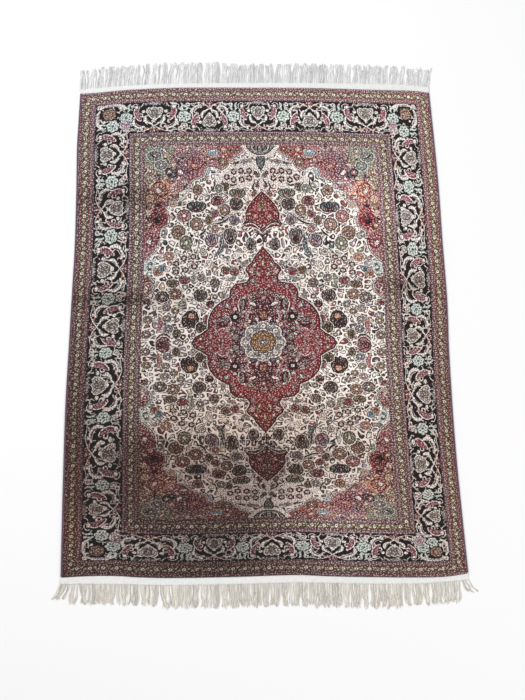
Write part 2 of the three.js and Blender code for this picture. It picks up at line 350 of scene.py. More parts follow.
def palmette(x, y, wide, tall, flesh, heart, turn=0.0, edge="ivory", ribs="ink"):
    """A fan-shaped flower seen from its side, opening along +y before its turn."""
    fan = np.array([(0, -0.5), (0.28, -0.42), (0.5, -0.1), (0.48, 0.2), (0.3, 0.42), (0.12, 0.38),
                    (0, 0.5), (-0.12, 0.38), (-0.3, 0.42), (-0.48, 0.2), (-0.5, -0.1),
                    (-0.28, -0.42)])
    c, s = math.cos(turn), math.sin(turn)

    def at(points):
        points = np.asarray(points) * (wide, tall)
        return np.stack([x + points[:, 0] * c - points[:, 1] * s,
                         y + points[:, 0] * s + points[:, 1] * c], 1)

    motif = [(at(fan * 1.16), edge), (at(fan * 1.05), ribs), (at(fan * 0.9), flesh)]
    for k in (-2, -1, 0, 1, 2):
        lean = k * 0.16
        motif.append((
            at([(lean * 0.4 - 0.024, -0.25), (lean * 0.4 + 0.024, -0.25),
                (lean + 0.042, 0.32), (lean - 0.042, 0.32)]),
            ribs,
        ))
    motif += [
        (at(fan * (0.5, 0.42) + (0, -0.2)), ribs), (at(fan * (0.38, 0.3) + (0, -0.2)), heart),
    ]
    return motif


def blossom(x, y, r, turn, dark, petals, heart):
    """A small round flower with dark lines between its petals."""
    return [
        (scallop(x, y, r, 7, 0.2, 1.0, turn), dark),
        (scallop(x, y, r * 0.8, 7, 0.22, 1.0, turn), petals),
        (star(x, y, r * 0.76, 7, 0.36, turn), dark),
        (disc(x, y, r * 0.34, 6), heart),
    ]


def tulip(x, y, r, turn, dark, petals, heart):
    """A bud of three petals opening from its foot."""
    foot = (x + math.sin(turn) * r * 0.95, y - math.cos(turn) * r * 0.95)
    motif = []
    for lean in (-0.5, 0.5, 0):
        motif.append((drop(*foot, r * (2.1 if lean == 0 else 1.9), r, turn + lean), dark))
        motif.append((drop(*foot, r * (1.85 if lean == 0 else 1.7), r * 0.62, turn + lean),
                      heart if lean == 0 else petals))
    return motif


def sprig(x, y, r, turn, dark, petals):
    """A bent leaf with a light vein."""
    way = np.array((math.cos(turn), math.sin(turn)))
    side = np.array((-way[1], way[0]))
    spine = np.array([way * -1.15 * r, side * 0.5 * r, way * 1.15 * r]) + (x, y)
    return [(leaf(spine, r * 1.25, 0, 3), dark), (leaf(spine, r * 0.55, 0, 2), petals)]


def put(motif, where):
    """A motif with each outline sent through a placing function."""
    return [(where(outline), yarn) for outline, yarn in motif]


def both_ways(motif):
    """A motif and its mirror image across x = 0."""
    return motif + put(motif, lambda p: p * (-1, 1))


def both_ends(motif):
    """A motif and its mirror image across y = 0."""
    return motif + put(motif, lambda p: p * (1, -1))


def four_ways(motif):
    """A motif in all four quarters."""
    quarters = [put(motif, lambda p, k=k: p * k) for k in ((1, 1), (1, -1), (-1, 1), (-1, -1))]
    return sum(quarters, [])


# The main border: a chain of cartouches between mint rosettes on a black ground

CARTOUCHE_LENGTH = 184
CARTOUCHE_SQUASH = 0.875


def half_cartouche():
    """One half, x from the cartouche's middle, y toward the palmette's opening."""
    return [
        (strip([(24, -52), (40, -58), (58, -54), (76, -52)], 2.4), "ivory"),
        (strip([(36, 60), (40, 50), (46, 44)], 2.6), "ivory"),
        (strip([(20, 61), (28, 52), (36, 60)], 2.2), "lilac"),
        (drop(31, 62, 9, 5, math.pi), "rose"),
        (leaf([(8, -26), (22, -19), (29, -8), (28, 7)], 11), "ivory"),
        (leaf([(12, -22), (21, -14), (25, -2)], 5), "sage"),
        (leaf([(30, -37), (42, -41), (56, -36), (67, -20), (66, 3)], 14, 1, 5), "ivory"),
        (leaf([(36, -38), (46, -38), (58, -30), (64, -12)], 5), "dusk"),
        (leaf([(67, -4), (62, 4), (57, 2)], 4), "ivory"),
        (leaf([(51, 47), (60, 32), (58, 14), (51, -2), (43, -15)], 19), "ivory"),
        (leaf([(52, 44), (59, 30), (57, 14), (50, 0), (44, -12)], 15.5), "wine"),
        (leaf([(54, 36), (56, 24), (54, 12), (49, 0)], 5), "rose"),
        (leaf([(47, 16), (40, 12), (41, 3), (47, 4)], 7), "ivory"),
        (leaf([(46, 14), (41.5, 10), (43, 4)], 4.4), "ink"),
        (strip([(73, 38), (74, 49), (63, 57), (53, 52)], 2.6), "ivory"),
        (disc(60, 43, 9), "ink"),
        (scallop(60, 43, 7.4, 5, 0.14), "ivory"),
        (disc(35, 24, 8.6), "ink"),
        (disc(35, 24, 6.4), "ivory"),
        (lozenge(24, 45, 7, 4), "ink"),
        (leaf([(10, -47), (22, -46), (32, -42)], 6), "peach"),
        (disc(40, -50, 4.6, 8), "ivory"),
        (strip([(31, -6), (22, -19), (9, -29), (0, -35), (-9, -43), (-18, -50), (-26, -51)], 3.4),
         "ivory"),
        (scallop(81, -49, 9, 4, 0.1), "ivory"),
        (disc(81, -49, 5.2, 6), "rose"),
        (disc(81, -49, 2, 4), "ink"),
        (leaf([(70, -50), (62, -46), (56, -50)], 4), "mint"),
    ]


def heart_palmette():
    """The grey palmette in the middle of each cartouche, with its trefoil foot."""
    heart = [(0, -14), (13, -3), (20, 8), (26, 21), (26, 34), (18, 43), (8, 39), (0, 44),
             (-8, 39), (-18, 43), (-26, 34), (-26, 21), (-20, 8), (-13, -3)]
    heart = np.array(heart, float)
    middle = np.array((0, 18))
    fan = np.array([(-24, 63), (-16, 50), (-9, 55), (-5, 47), (0, 53), (5, 47), (9, 55),
                    (16, 50), (24, 63)], float)
    motif = [
        (heart, "ivory"),
        (middle + (heart - middle) * 0.88, "grey"),
        (middle + (heart - middle) * 0.62, "stone"),
        (leaf([(0, 2), (0, 14), (0, 30), (0, 41)], 6), "grey"),
        (fan, "sage"),
        (fan * (0.6, 1) + (0, 3), "lilac"),
        (np.array([(-15, -63), (-9, -47), (0, -38), (9, -47), (15, -63)], float), "maroon"),
        (drop(0, -60, 19, 8, 0), "ivory"),
        (disc(0, -49, 4.2, 7), "rose"),
        (disc(0, -9, 7, 8), "ivory"),
    ]
    motif += both_ways([
        (drop(12, 12, 18, 8.5, -0.35), "ivory"),
        (drop(14, 17, 10, 4.5, -0.35), "brown"),
        (disc(10, 34, 3, 6), "mint"),
        (disc(19, 8, 3, 5), "ivory"),
        (drop(5, -60, 12, 6, -0.7), "rose"),
        (disc(5, 6, 2, 4), "brown"),
    ])
    return motif


def border_rosette():
    """A mint rosette with a leaf fork outward and a ringed bud inward, y outward."""
    motif = both_ways([
        (leaf([(2, 20), (8, 34), (6, 48), (12, 58)], 7), "mint"),
        (strip([(3, 22), (14, 36), (20, 30)], 2.2), "mint"),
        (strip([(4, -24), (11, -38), (7, -52), (2, -58)], 2.2), "ivory"),
        (drop(8, -62, 9, 5, 0.3), "rose"),
    ])
    motif += [
        (disc(0, -37, 8.4, 10, 1.3), "ivory"),
        (disc(0, -37, 6.2, 9, 1.3), "ink"),
        (disc(0, -37, 4, 8, 1.3), "ivory"),
    ]
    return motif + rosette(0, 0, 23, "mint", "teal", "slate", 1.06, 7)


# The rosettes on each side of the black band: (the axis it lies across, its sign, their places)
BAND_SIDES = [
    (0, -1, [774, 560, 381, 164, -35, -287, -534, -755]),
    (0, 1, [754, 542, 343, 126, -65, -325, -569, -780]),
    (1, 1, [-452, -266, -92, 84, 269, 457]),
    (1, -1, [-462, -262, -84, 102, 285, 462]),
]


def chain(axis, sign, places):
    """Cartouches that open out and in by turns, with a rosette at each end of them."""
    def on_band(along, out):
        chart = [along, along]
        chart[axis] = sign * (BAND_MIDDLE[axis] + out)
        return np.stack(chart, 1)

    motif = []
    cartouche = both_ways(half_cartouche()) + heart_palmette()
    for i, (a, b) in enumerate(zip(places, places[1:])):
        squash = CARTOUCHE_SQUASH * (1 if i % 2 == 0 else -1)
        stretch = abs(b - a) / CARTOUCHE_LENGTH
        middle = (a + b) / 2
        motif += put(
            cartouche,
            lambda p, m=middle, k=stretch, v=squash: on_band(m + p[:, 0] * k, p[:, 1] * v))
    for a in places:
        motif += put(
            border_rosette(), lambda p, a=a: on_band(a + p[:, 0], p[:, 1] * CARTOUCHE_SQUASH))
    return motif


def border_corner():
    """What fills a corner of the black band, drawn for the far left one."""
    motif = [
        (leaf([(-535, 843), (-512, 851), (-485, 851), (-462, 843), (-450, 834)], 12, 1), "ivory"),
        (leaf([(-526, 847), (-500, 850), (-470, 844)], 3), "mauve"),
        (leaf([(-538, 836), (-545, 818), (-545, 796), (-541, 780), (-526, 768)], 12, 1), "ivory"),
        (leaf([(-541, 826), (-543, 806), (-539, 786)], 3), "mauve"),
        (scallop(-540, 846, 9, 4, 0.1), "ivory"),
        (disc(-540, 846, 3, 5), "rose"),
        (strip([(-536, 842), (-524, 832)], 2.4), "ivory"),
        (disc(-474, 838, 4.4, 8), "ivory"),
        (disc(-522, 792, 4.4, 8), "ivory"),
        (strip([(-478, 806), (-468, 796), (-456, 782), (-444, 770)], 3), "lilac"),
    ]
    for k in range(6):
        angle = math.pi * k / 3 + 0.5
        motif.append((drop(-452, 774, 21, 10, angle), "lilac"))
    motif.append((disc(-452, 774, 6, 7), "rose"))
    motif += rosette(-507, 818, 22, "tan", "maroon", "rose", 1.0, 7)
    return motif


# The guard stripes on each side of the black band

# Each stripe: (yarn, where it starts, where it ends), inward from the outside
OUTER_GUARDS = [("heather", 0, 14), ("clay", 14, 19), ("gold", 19, 39), ("clay", 39, 46),
                ("heather", 46, 60)]
INNER_GUARDS = [("heather", 0, 16.5), ("gold", 16.5, 36.5), ("heather", 36.5, 53)]
GUARD_FLOWER_PITCH = 38
GUARD_DOT_PITCH = 6.8
GUARD_LINE = 1.4


def rim(half, width, yarn):
    """A stripe of one yarn just inside a rectangle."""
    x, y = half
    return [
        (box(-x, -y, x, -y + width), yarn), (box(-x, y - width, x, y), yarn),
        (box(-x, -y, -x + width, y), yarn), (box(x - width, -y, x, y), yarn),
    ]


def along_rim(half, inset, motif, pitch):
    """A small motif repeated along a stripe's middle, its own y pointing outward."""
    x, y = half[0] - inset, half[1] - inset
    sides = [
        (x, lambda p, a: p + (a, y)),
        (x, lambda p, a: p * (1, -1) + (a, -y)),
        (y, lambda p, a: p[:, ::-1] + (x, a)),
        (y, lambda p, a: p[:, ::-1] * (-1, 1) + (-x, a)),
    ]
    repeats = []
    for length, where in sides:
        count = round(2 * length / pitch)
        for i in range(count):
            a = -length + (i + 0.5) * 2 * length / count
            repeats += put(motif, lambda p, a=a: where(p, a))
    return repeats


def guard_flower():
    """The gold stripe's small flower with its leaves."""
    return [
        (scallop(0, 0, 8.8, 6, 0.16), "ink"),
        (scallop(0, 0, 6.6, 6, 0.18), "ivory"),
        (disc(0, 0, 2.4, 5), "olive"),
        (leaf([(8, 5), (14, 7), (19, 3)], 4.4), "teal"),
        (leaf([(-8, -5), (-14, -7), (-19, -3)], 4.4), "teal"),
        (leaf([(9, -5), (14, -3), (18, -7)], 3.4), "cream"),
        (leaf([(-9, 5), (-14, 3), (-18, 7)], 3.4), "cream"),
        (disc(14, 1, 1.7, 4), "maroon"),
        (disc(-14, -1, 1.7, 4), "maroon"),
    ]


def guard_dots():
    """Two small lozenges of the plain stripes."""
    return [(lozenge(-1.7, 2.8, 1.7, 3.0), "lilac"), (lozenge(1.7, -2.8, 1.9, 3.4), "maroon")]


def guards(half, stripes):
    """A set of guard stripes inside a rectangle, with their small repeats."""
    motif = []
    for yarn, start, end in stripes:
        motif += rim((half[0] - start, half[1] - start), end - start, yarn)
    for yarn, start, end in stripes:
        middle = (start + end) / 2
        if yarn == "gold":
            motif += along_rim(half, middle, guard_flower(), GUARD_FLOWER_PITCH)
            for at in (start, end):
                inset = at - GUARD_LINE / 2
                motif += rim((half[0] - inset, half[1] - inset), GUARD_LINE, "brown")
        elif end - start > 10:
            motif += along_rim(half, middle, guard_dots(), GUARD_DOT_PITCH)
    return motif


def border_pattern():
    """Everything outside the inner guards."""
    x, y = BORDER_GROUND
    motif = [(box(-x, -y, x, y), "night")]
    for axis, sign, places in BAND_SIDES:
        motif += chain(axis, sign, places)
    motif += four_ways(border_corner())
    motif += guards(CHART_HALF, OUTER_GUARDS)
    motif += rim(BLACK_BAND_OUT, 1.6, "ink")
    return motif


# The field: an ivory garden with a medallion, two pendants and rose corners

# Outlines of a quarter of the field, charted from its middle
MEDALLION = [(0, 345), (15, 326), (28, 308), (36, 290), (54, 273), (59, 262), (50, 249), (46, 232),
             (56, 216), (94, 209), (110, 192), (114, 162), (138, 149), (160, 131), (176, 107),
             (184, 80), (184, 50), (204, 33), (228, 19), (238, 0)]
PENDANT = [(0, 520), (14, 507), (29, 492), (48, 468), (57, 446), (56, 424), (66, 412),
           (58, 403), (40, 406), (22, 400), (8, 392), (0, 384)]
SPANDREL = [(44, 700), (56, 668), (84, 644), (108, 630), (116, 606), (140, 590), (164, 602),
            (192, 600), (202, 570), (240, 556), (254, 532), (284, 520), (284, 496), (304, 480),
            (326, 466), (312, 440), (316, 408), (340, 396), (344, 356), (356, 330), (382, 302),
            (400, 288), (400, 700)]
SIDE_NOTCH = [(400, 250), (368, 240), (352, 216), (358, 190), (382, 166), (400, 152)]


def mirrored_loop(quarter):
    """A quarter outline from the top to the side, closed round all four quarters."""
    q = np.array(quarter, float)
    right = np.vstack([q, (q * (1, -1))[::-1][1:]])
    return np.vstack([right, (right * (-1, 1))[::-1][1:-1]])


def mirrored_half(side):
    """An outline from the top to the bottom of x > 0, closed across x = 0."""
    p = np.array(side, float)
    return np.vstack([p, (p * (-1, 1))[::-1][1:-1]])


def shrunk(loop, by):
    """A loop drawn in by a distance, by moving each point along its corner's middle."""
    p = np.asarray(loop, float)
    before, after = np.roll(p, 1, 0), np.roll(p, -1, 0)
    way = after - before
    way /= np.maximum(np.hypot(way[:, 0], way[:, 1]), 1e-6)[:, None]
    inward = np.stack([-way[:, 1], way[:, 0]], 1)
    area = np.sum(p[:, 0] * after[:, 1] - after[:, 0] * p[:, 1])
    return p + inward * by * (1 if area > 0 else -1)


def curve_loop(loop, steps=3):
    """A closed outline smoothed through its points."""
    p = np.asarray(loop, float)
    wrapped = np.vstack([p[-2:], p, p[:2]])
    line = smooth(wrapped, steps)
    return line[2 * steps:-2 * steps]


def inside(loop, x, y):
    """Whether a point is inside a closed outline."""
    within = False
    for (x0, y0), (x1, y1) in zip(loop, np.roll(loop, -1, 0)):
        if (y0 > y) != (y1 > y) and x < (x1 - x0) * (y - y0) / (y1 - y0) + x0:
            within = not within
    return within


# The small blossoms between the charted flowers: half sizes, gap and light halo
FILL_SIZES = (14, 12, 10, 8.6)
FILL_GAP = 9
HALO = 2
SCROLL_STEP = 10
# Where the ivory ground stays open: (x, y, radius)
OPEN_GROUND = [(74, 574, 46), (14, 546, 24), (110, 566, 28), (40, 606, 34), (150, 560, 14)]

# Small ringed flowers of a quarter: (x, y, half size, ring, heart)
RING_FLOWERS = [
    (41, 588, 11, "maroon", "brick"), (70, 588, 11, "maroon", "brick"),
    (96, 585, 11, "maroon", "brick"), (42, 564, 11, "maroon", "peach"),
    (69, 560, 11, "maroon", "brick"), (97, 558, 11, "maroon", "peach"),
    (121, 567, 11, "maroon", "brick"), (240, 313, 11, "brown", "gold"),
    (268, 308, 11, "brown", "gold"), (291, 288, 11, "brown", "gold"),
    (236, 277, 12, "brown", "rose"), (263, 265, 11, "brown", "gold"),
    (292, 258, 11, "brown", "gold"), (164, 166, 10, "brown", "peach"),
    (235, 30, 8, "brown", "rose"), (345, 311, 8, "stone", "rose"),
]
# Broad flowers of a quarter: (x, y, half size, petals, ribs, heart)
ASTERS = [
    (229, 412, 23, "tan", "rose", "ivory"), (268, 440, 22, "rose", "olive", "ivory"),
    (286, 388, 22, "tan", "brown", "rose"), (262, 357, 20, "sage", "tan", "ivory"),
    (313, 316, 17, "peach", "brown", "ivory"), (293, 178, 21, "tan", "madder", "ivory"),
    (330, 168, 21, "stone", "brown", "ivory"), (165, 216, 18, "stone", "brown", "rose"),
    (290, 116, 13, "tan", "brown", "ivory"), (316, 128, 14, "grey", "rose", "ivory"),
    (314, 88, 14, "grey", "tan", "ivory"), (370, 85, 15, "tan", "olive", "ivory"),
    (374, 32, 16, "stone", "rose", "ivory"), (270, 141, 13, "grey", "brown", "ivory"),
    (309, 52, 15, "slate", "lilac", "ivory"), (212, 236, 15, "grey", "brown", "ivory"),
    (331, 385, 12, "sage", "slate", "ivory"), (66, 212, 17, "grey", "maroon", "rose"),
    (150, 530, 15, "sage", "slate", "ivory"), (225, 526, 18, "tan", "rose", "brown"),
    (130, 458, 20, "tan", "rose", "ivory"), (165, 396, 14, "rose", "tan", "ivory"),
]

# Side-seen flowers of a quarter: (x, y, width, height, turn, petals, heart)
PALMETTES = [
    (228, 470, 64, 38, 0.0, "slate", "maroon"), (85, 514, 56, 34, 0.0, "sage", "rose"),
    (90, 478, 46, 44, 0.2, "stone", "plum"), (156, 488, 44, 36, 3.14, "rose", "maroon"),
    (244, 84, 52, 68, 3.3, "brown", "peach"), (208, 56, 40, 40, 2.6, "olive", "brown"),
    (214, 172, 46, 46, 0.3, "stone", "plum"), (322, 6, 58, 44, 1.57, "rose", "maroon"),
    (112, 376, 44, 48, 0.0, "grey", "maroon"), (176, 366, 46, 40, -0.5, "lilac", "rose"),
    (128, 262, 34, 30, 0.4, "gold", "brick"), (98, 256, 30, 32, -0.6, "rose", "madder"),
    (126, 536, 26, 30, 0.0, "gold", "olive"), (97, 424, 36, 32, 0.3, "lilac", "gold"),
    (265, 228, 34, 32, 0.2, "rose", "crimson"), (345, 258, 28, 26, 0.8, "peach", "brick"),
    (40, 352, 34, 36, 0.5, "grey", "maroon"), (186, 426, 26, 34, 0.4, "tan", "olive"),
    (190, 84, 26, 38, 0.2, "rose", "brown"), (180, 140, 28, 28, -0.3, "maroon", "rose"),
    (300, 216, 38, 30, 0.1, "tan", "olive"), (284, 34, 24, 36, 0.1, "gold", "brown"),
    (166, 446, 30, 26, -0.4, "rose", "crimson"), (332, 273, 24, 26, 0.0, "sky", "slate"),
]

# Big leaves of a quarter: (yarn, width, points along it)
LEAVES = [
    ("ivory", 8, [(100, 450), (118, 430), (146, 418), (184, 414)]),
    ("ink", 3.4, [(103, 446), (122, 427), (150, 414), (184, 411)]),
    ("slate", 15, [(128, 396), (140, 366), (146, 336), (168, 312)]),
    ("teal", 4, [(133, 388), (144, 360), (150, 334)]),
    ("sage", 13, [(232, 250), (240, 232), (236, 212)]),
    ("sky", 14, [(176, 624), (184, 600), (190, 572)]),
    ("slate", 13, [(196, 596), (200, 574), (216, 552)]),
    ("grey", 14, [(38, 288), (56, 280), (78, 292)]),
    ("rose", 13, [(336, 96), (332, 70), (340, 42)]),
    ("ink", 4, [(164, 560), (166, 536), (182, 520)]),
    ("ivory", 7, [(250, 536), (262, 510), (280, 488)]),
    ("ink", 3.4, [(84, 546), (104, 540), (126, 552)]),
    ("ink", 3.6, [(246, 398), (258, 412), (250, 428)]),
    ("grey", 14, [(140, 186), (134, 168), (140, 150)]),
    ("olive", 13, [(120, 160), (124, 140), (138, 128)]),
    ("grey", 12, [(92, 244), (104, 230), (124, 226)]),
    ("ink", 4, [(196, 398), (206, 384), (222, 376)]),
]


def scattered(rng, effort, sizes, gap, low, high, taken, allowed):
    """Random spots, the large ones first, that keep clear of each other and of what is there."""
    clear = np.array(taken, float).reshape(-1, 3)
    spots = []
    for r in sizes:
        for _ in range(int(effort / r**2)):
            x, y = rng.uniform(low[0], high[0]), rng.uniform(low[1], high[1])
            away = np.hypot(clear[:, 0] - x, clear[:, 1] - y)
            if (away < clear[:, 2] + r + gap).any() or not allowed(x, y, r):
                continue
            clear = np.vstack([clear, (x, y, r)])
            spots.append((x, y, r))
    return spots


SOFT_YARNS = ("grey", "grey", "stone", "tan", "tan", "rose", "clay", "dusk", "sage", "slate",
              "olive", "lilac", "ivory", "ivory")
DARK_YARNS = ("ink", "ink", "brown", "maroon", "teal")
HEART_YARNS = ("ivory", "cream", "rose", "madder", "gold")


def curl(x, y, r, turn, dark, petals, heart):
    """A leaf bent round a bud."""
    angle = turn + np.array((0, 1.1, 2.2, 3.3, 4.2))
    reach = r * np.array((0.75, 0.78, 0.74, 0.68, 0.5))
    spine = list(zip(x + reach * np.cos(angle), y + reach * np.sin(angle)))
    return [(leaf(spine, r * 0.66, 0, 2), dark), (leaf(spine, r * 0.3, 0, 2), petals),
            (disc(x, y, r * 0.3, 5), heart)]


def leaf_pair(x, y, r, turn, dark, petals, heart):
    """Two bowed leaves that open from one foot, with a bud between."""
    c, s = math.cos(turn), math.sin(turn)
    motif = []
    for side in (1, -1):
        local = np.array([(0, -0.95), (0.62 * side, -0.3), (0.6 * side, 0.45), (0.2 * side, 1.0)])
        spine = local * r @ np.array([(c, s), (-s, c)]) + (x, y)
        motif += [(leaf(spine, r * 0.62, 0, 2), dark), (leaf(spine, r * 0.27, 0, 2), petals)]
    return motif + [(disc(x - s * r * 0.35, y + c * r * 0.35, r * 0.26, 5), heart)]


def planted(rng, spots, darks=DARK_YARNS, softs=SOFT_YARNS, hearts=HEART_YARNS, halo=None):
    """A blossom, bud or leaf for each spot, the larger ones in a halo of light yarn."""
    motif = []
    if halo:
        motif += [(disc(x, y, r + HALO, 9), halo) for x, y, r in spots]
    for x, y, r in spots:
        dark, petals, heart = rng.choice(darks), rng.choice(softs), rng.choice(hearts)
        form = rng.random()
        turn = rng.uniform(0, 6.28)
        if r > 5:
            kind = (blossom, blossom, tulip, curl, leaf_pair)[int(form * 5)]
            motif += kind(x, y, r, turn, dark, petals, heart)
        elif form < 0.35:
            motif += [(disc(x, y, r, 6), dark), (disc(x, y, r * 0.5, 5), petals)]
        else:
            motif += sprig(x, y, r, turn, dark, petals)
    return motif


def scroll(rng, x, y, width, dark, leaf_yarns, allowed):
    """A stem that curls inward, with leaves by turns on each side while it is allowed."""
    way = rng.uniform(0, 6.28)
    bend = rng.choice((-1, 1)) * rng.uniform(0.16, 0.34)
    spine, leaves = [(x, y)], []
    for k in range(rng.randrange(6, 12)):
        way += bend * (0.5 + 0.14 * k)
        x, y = x + SCROLL_STEP * math.cos(way), y + SCROLL_STEP * math.sin(way)
        if not allowed(x, y):
            break
        spine.append((x, y))
        lean = way + (0.9 if k % 2 else -0.9)
        middle = (x + 7 * math.cos(lean), y + 7 * math.sin(lean))
        tip = (x + 14 * math.cos(lean * 0.8 + way * 0.2), y + 14 * math.sin(lean * 0.8 + way * 0.2))
        leaves.append((leaf([(x, y), middle, tip], 7, 0, 2), rng.choice(leaf_yarns)))
    if len(spine) < 3:
        return []
    return [(strip(spine, width, 1), dark)] + leaves


def scrolls(rng, count, low, high, width, darks, leaf_yarns, allowed=lambda x, y: True):
    """Curled stems from random places in a rectangle."""
    motif = []
    for _ in range(count):
        x, y = rng.uniform(low[0], high[0]), rng.uniform(low[1], high[1])
        if allowed(x, y):
            motif += scroll(rng, x, y, width, rng.choice(darks), leaf_yarns, allowed)
    return motif


def garden_fill(keep_off, zones, rng):
    """Stems and small blossoms between the charted flowers of a quarter."""
    def free(x, y, r):
        return x > r + 1 and y > r + 1 and not any(inside(z, x, y) for z in zones)

    motif = [(disc(x, y, r, 9), "ivory") for x, y, r in OPEN_GROUND]
    motif += scrolls(rng, 16, (0, 0), FIELD_HALF, 3.6, ("ivory", "ink"),
                     ("ivory", "ivory", "ivory", "cream", "mint", "lilac", "ink"))
    spots = scattered(rng, 160000, FILL_SIZES, FILL_GAP, (0, 0), FIELD_HALF, keep_off, free)
    return motif + planted(rng, spots, halo="ivory")


# What the small blossoms of a corner keep clear of: (x, y, radius)
CORNER_TAKEN = [
    (232, 616, 26), (272, 590, 22), (168, 662, 18), (340, 530, 22), (346, 432, 24),
    (368, 366, 20), (133, 622, 18), (358, 650, 22), (338, 612, 18), (372, 500, 14),
]
CORNER_LOW = (50, 300)


def corner_ground(outline):
    """A corner's light and dark rim, and its patches of ground yarn."""
    return [
        (strip(outline[:-1], 9, 2), "ivory"),
        (strip(outline[:-1], 3, 2), "teal"),
        (outline + (2, 2), "rose"),
        (curve_loop([(60, 690), (88, 652), (124, 634), (176, 632), (196, 660), (150, 690)]),
         "brick"),
        (curve_loop([(206, 690), (206, 610), (232, 578), (280, 566), (300, 600), (292, 660),
                     (262, 690)]), "mauve"),
        (curve_loop([(300, 590), (318, 574), (350, 566), (390, 560), (392, 694), (306, 694),
                     (296, 640)]), "sage"),
        (curve_loop([(300, 556), (340, 560), (352, 520), (336, 494), (300, 506)]), "peach"),
        (curve_loop([(358, 556), (388, 550), (388, 470), (356, 476)]), "tan"),
        (curve_loop([(322, 462), (356, 472), (390, 452), (390, 404), (350, 396), (320, 416)]),
         "madder"),
        (curve_loop([(352, 384), (388, 396), (390, 318), (362, 336)]), "rose"),
    ]


def corner_flowers():
    """A corner's charted flowers and leaves."""
    return [
        *palmette(232, 616, 52, 50, "rose", "peach", 0.4, "madder", "maroon"),
        *palmette(272, 590, 54, 40, "mauve", "ivory", 0.9, "rose", "maroon"),
        *palmette(168, 662, 44, 30, "sky", "ivory", 3.1, "rose", "slate"),
        *palmette(340, 530, 48, 40, "peach", "ivory", 0.9, "brick", "maroon"),
        *palmette(346, 432, 50, 42, "crimson", "ink", 0.6, "rose", "ink"),
        *palmette(376, 420, 34, 36, "brick", "cream", -0.4, "maroon", "ink"),
        *palmette(368, 366, 38, 36, "rose", "ivory", 0.8, "madder", "maroon"),
        *palmette(308, 582, 34, 26, "slate", "ink", 0.7, "ink", "ink"),
        *aster(133, 622, 17, "tan", "maroon", "ivory", 1.0, "brick"),
        *aster(100, 672, 13, "rose", "maroon", "ivory", 1.0, "brick"),
        *aster(358, 650, 22, "grey", "teal", "ivory", 1.0, "mint"),
        *aster(330, 672, 14, "mint", "slate", "ivory", 1.0, "grey"),
        *aster(338, 612, 19, "grey", "slate", "ivory", 1.0, "mint"),
        *aster(372, 590, 16, "tan", "brown", "ivory", 1.0, "cream"),
        *aster(372, 500, 15, "cream", "brick", "peach", 1.0, "brick"),
        *aster(250, 540, 9, "ivory", "mauve", "ink", 1.0, "mauve"),
        *aster(300, 480, 12, "cream", "mauve", "tan", 1.0, "ivory"),
        (leaf([(204, 684), (226, 672), (240, 690)], 5), "ivory"),
        (leaf([(244, 688), (262, 672), (290, 676)], 5), "ivory"),
        (leaf([(150, 654), (168, 640), (186, 650)], 6), "peach"),
        (leaf([(352, 560), (372, 540), (366, 516)], 4), "ivory"),
        (leaf([(376, 486), (364, 470), (374, 452)], 4), "mint"),
        (leaf([(352, 642), (364, 652), (374, 664)], 6), "ink"),
        (leaf([(252, 548), (262, 542), (268, 532)], 6), "ink"),
    ]


def corner_pattern(rng):
    """The rose corner of the field, drawn for the far right quarter."""
    outline = np.array(SPANDREL, float)
    spots = scattered(
        rng, 60000, (12, 10, 8.4, 6.8, 5.4), 1.6, CORNER_LOW, FIELD_HALF, CORNER_TAKEN,
        lambda x, y, r: inside(outline, x, y) and inside(outline, x - r, y - r))
    under = scrolls(
        rng, 45, CORNER_LOW, FIELD_HALF, 3.2, ("maroon", "ink", "cream", "brown"),
        ("ivory", "maroon", "cream", "clay", "ink", "grey", "ink", "plum"),
        lambda x, y: inside(outline, x, y) and inside(outline, x - 6, y - 6))
    blossoms = planted(
        rng, spots, ("maroon", "madder", "ink", "plum", "brown"),
        ("rose", "peach", "ivory", "mauve", "grey", "cream", "clay"), ("ivory", "cream", "ink"))
    return corner_ground(outline) + under + corner_flowers() + blossoms


def side_notch_pattern():
    """The small rose shape at the middle of each side of the field's quarter."""
    line = np.array(SIDE_NOTCH, float)
    return [
        (strip(line, 8, 2), "mint"),
        (strip(line, 3, 2), "slate"),
        (line + (3, 0), "clay"),
        (leaf([(384, 232), (372, 214), (382, 196)], 9), "maroon"),
        *aster(372, 210, 11, "rose", "maroon", "ivory"),
        *aster(380, 182, 8, "peach", "ink", "ivory"),
        (leaf([(384, 184), (376, 196), (384, 210)], 5), "ivory"),
        (curve_loop([(352, 300), (366, 304), (384, 292), (386, 262), (366, 254), (354, 276)]),
         "mint"),
        (curve_loop([(360, 292), (374, 292), (378, 270), (364, 264)]), "slate"),
        (disc(368, 279, 6, 7), "ivory"),
    ]


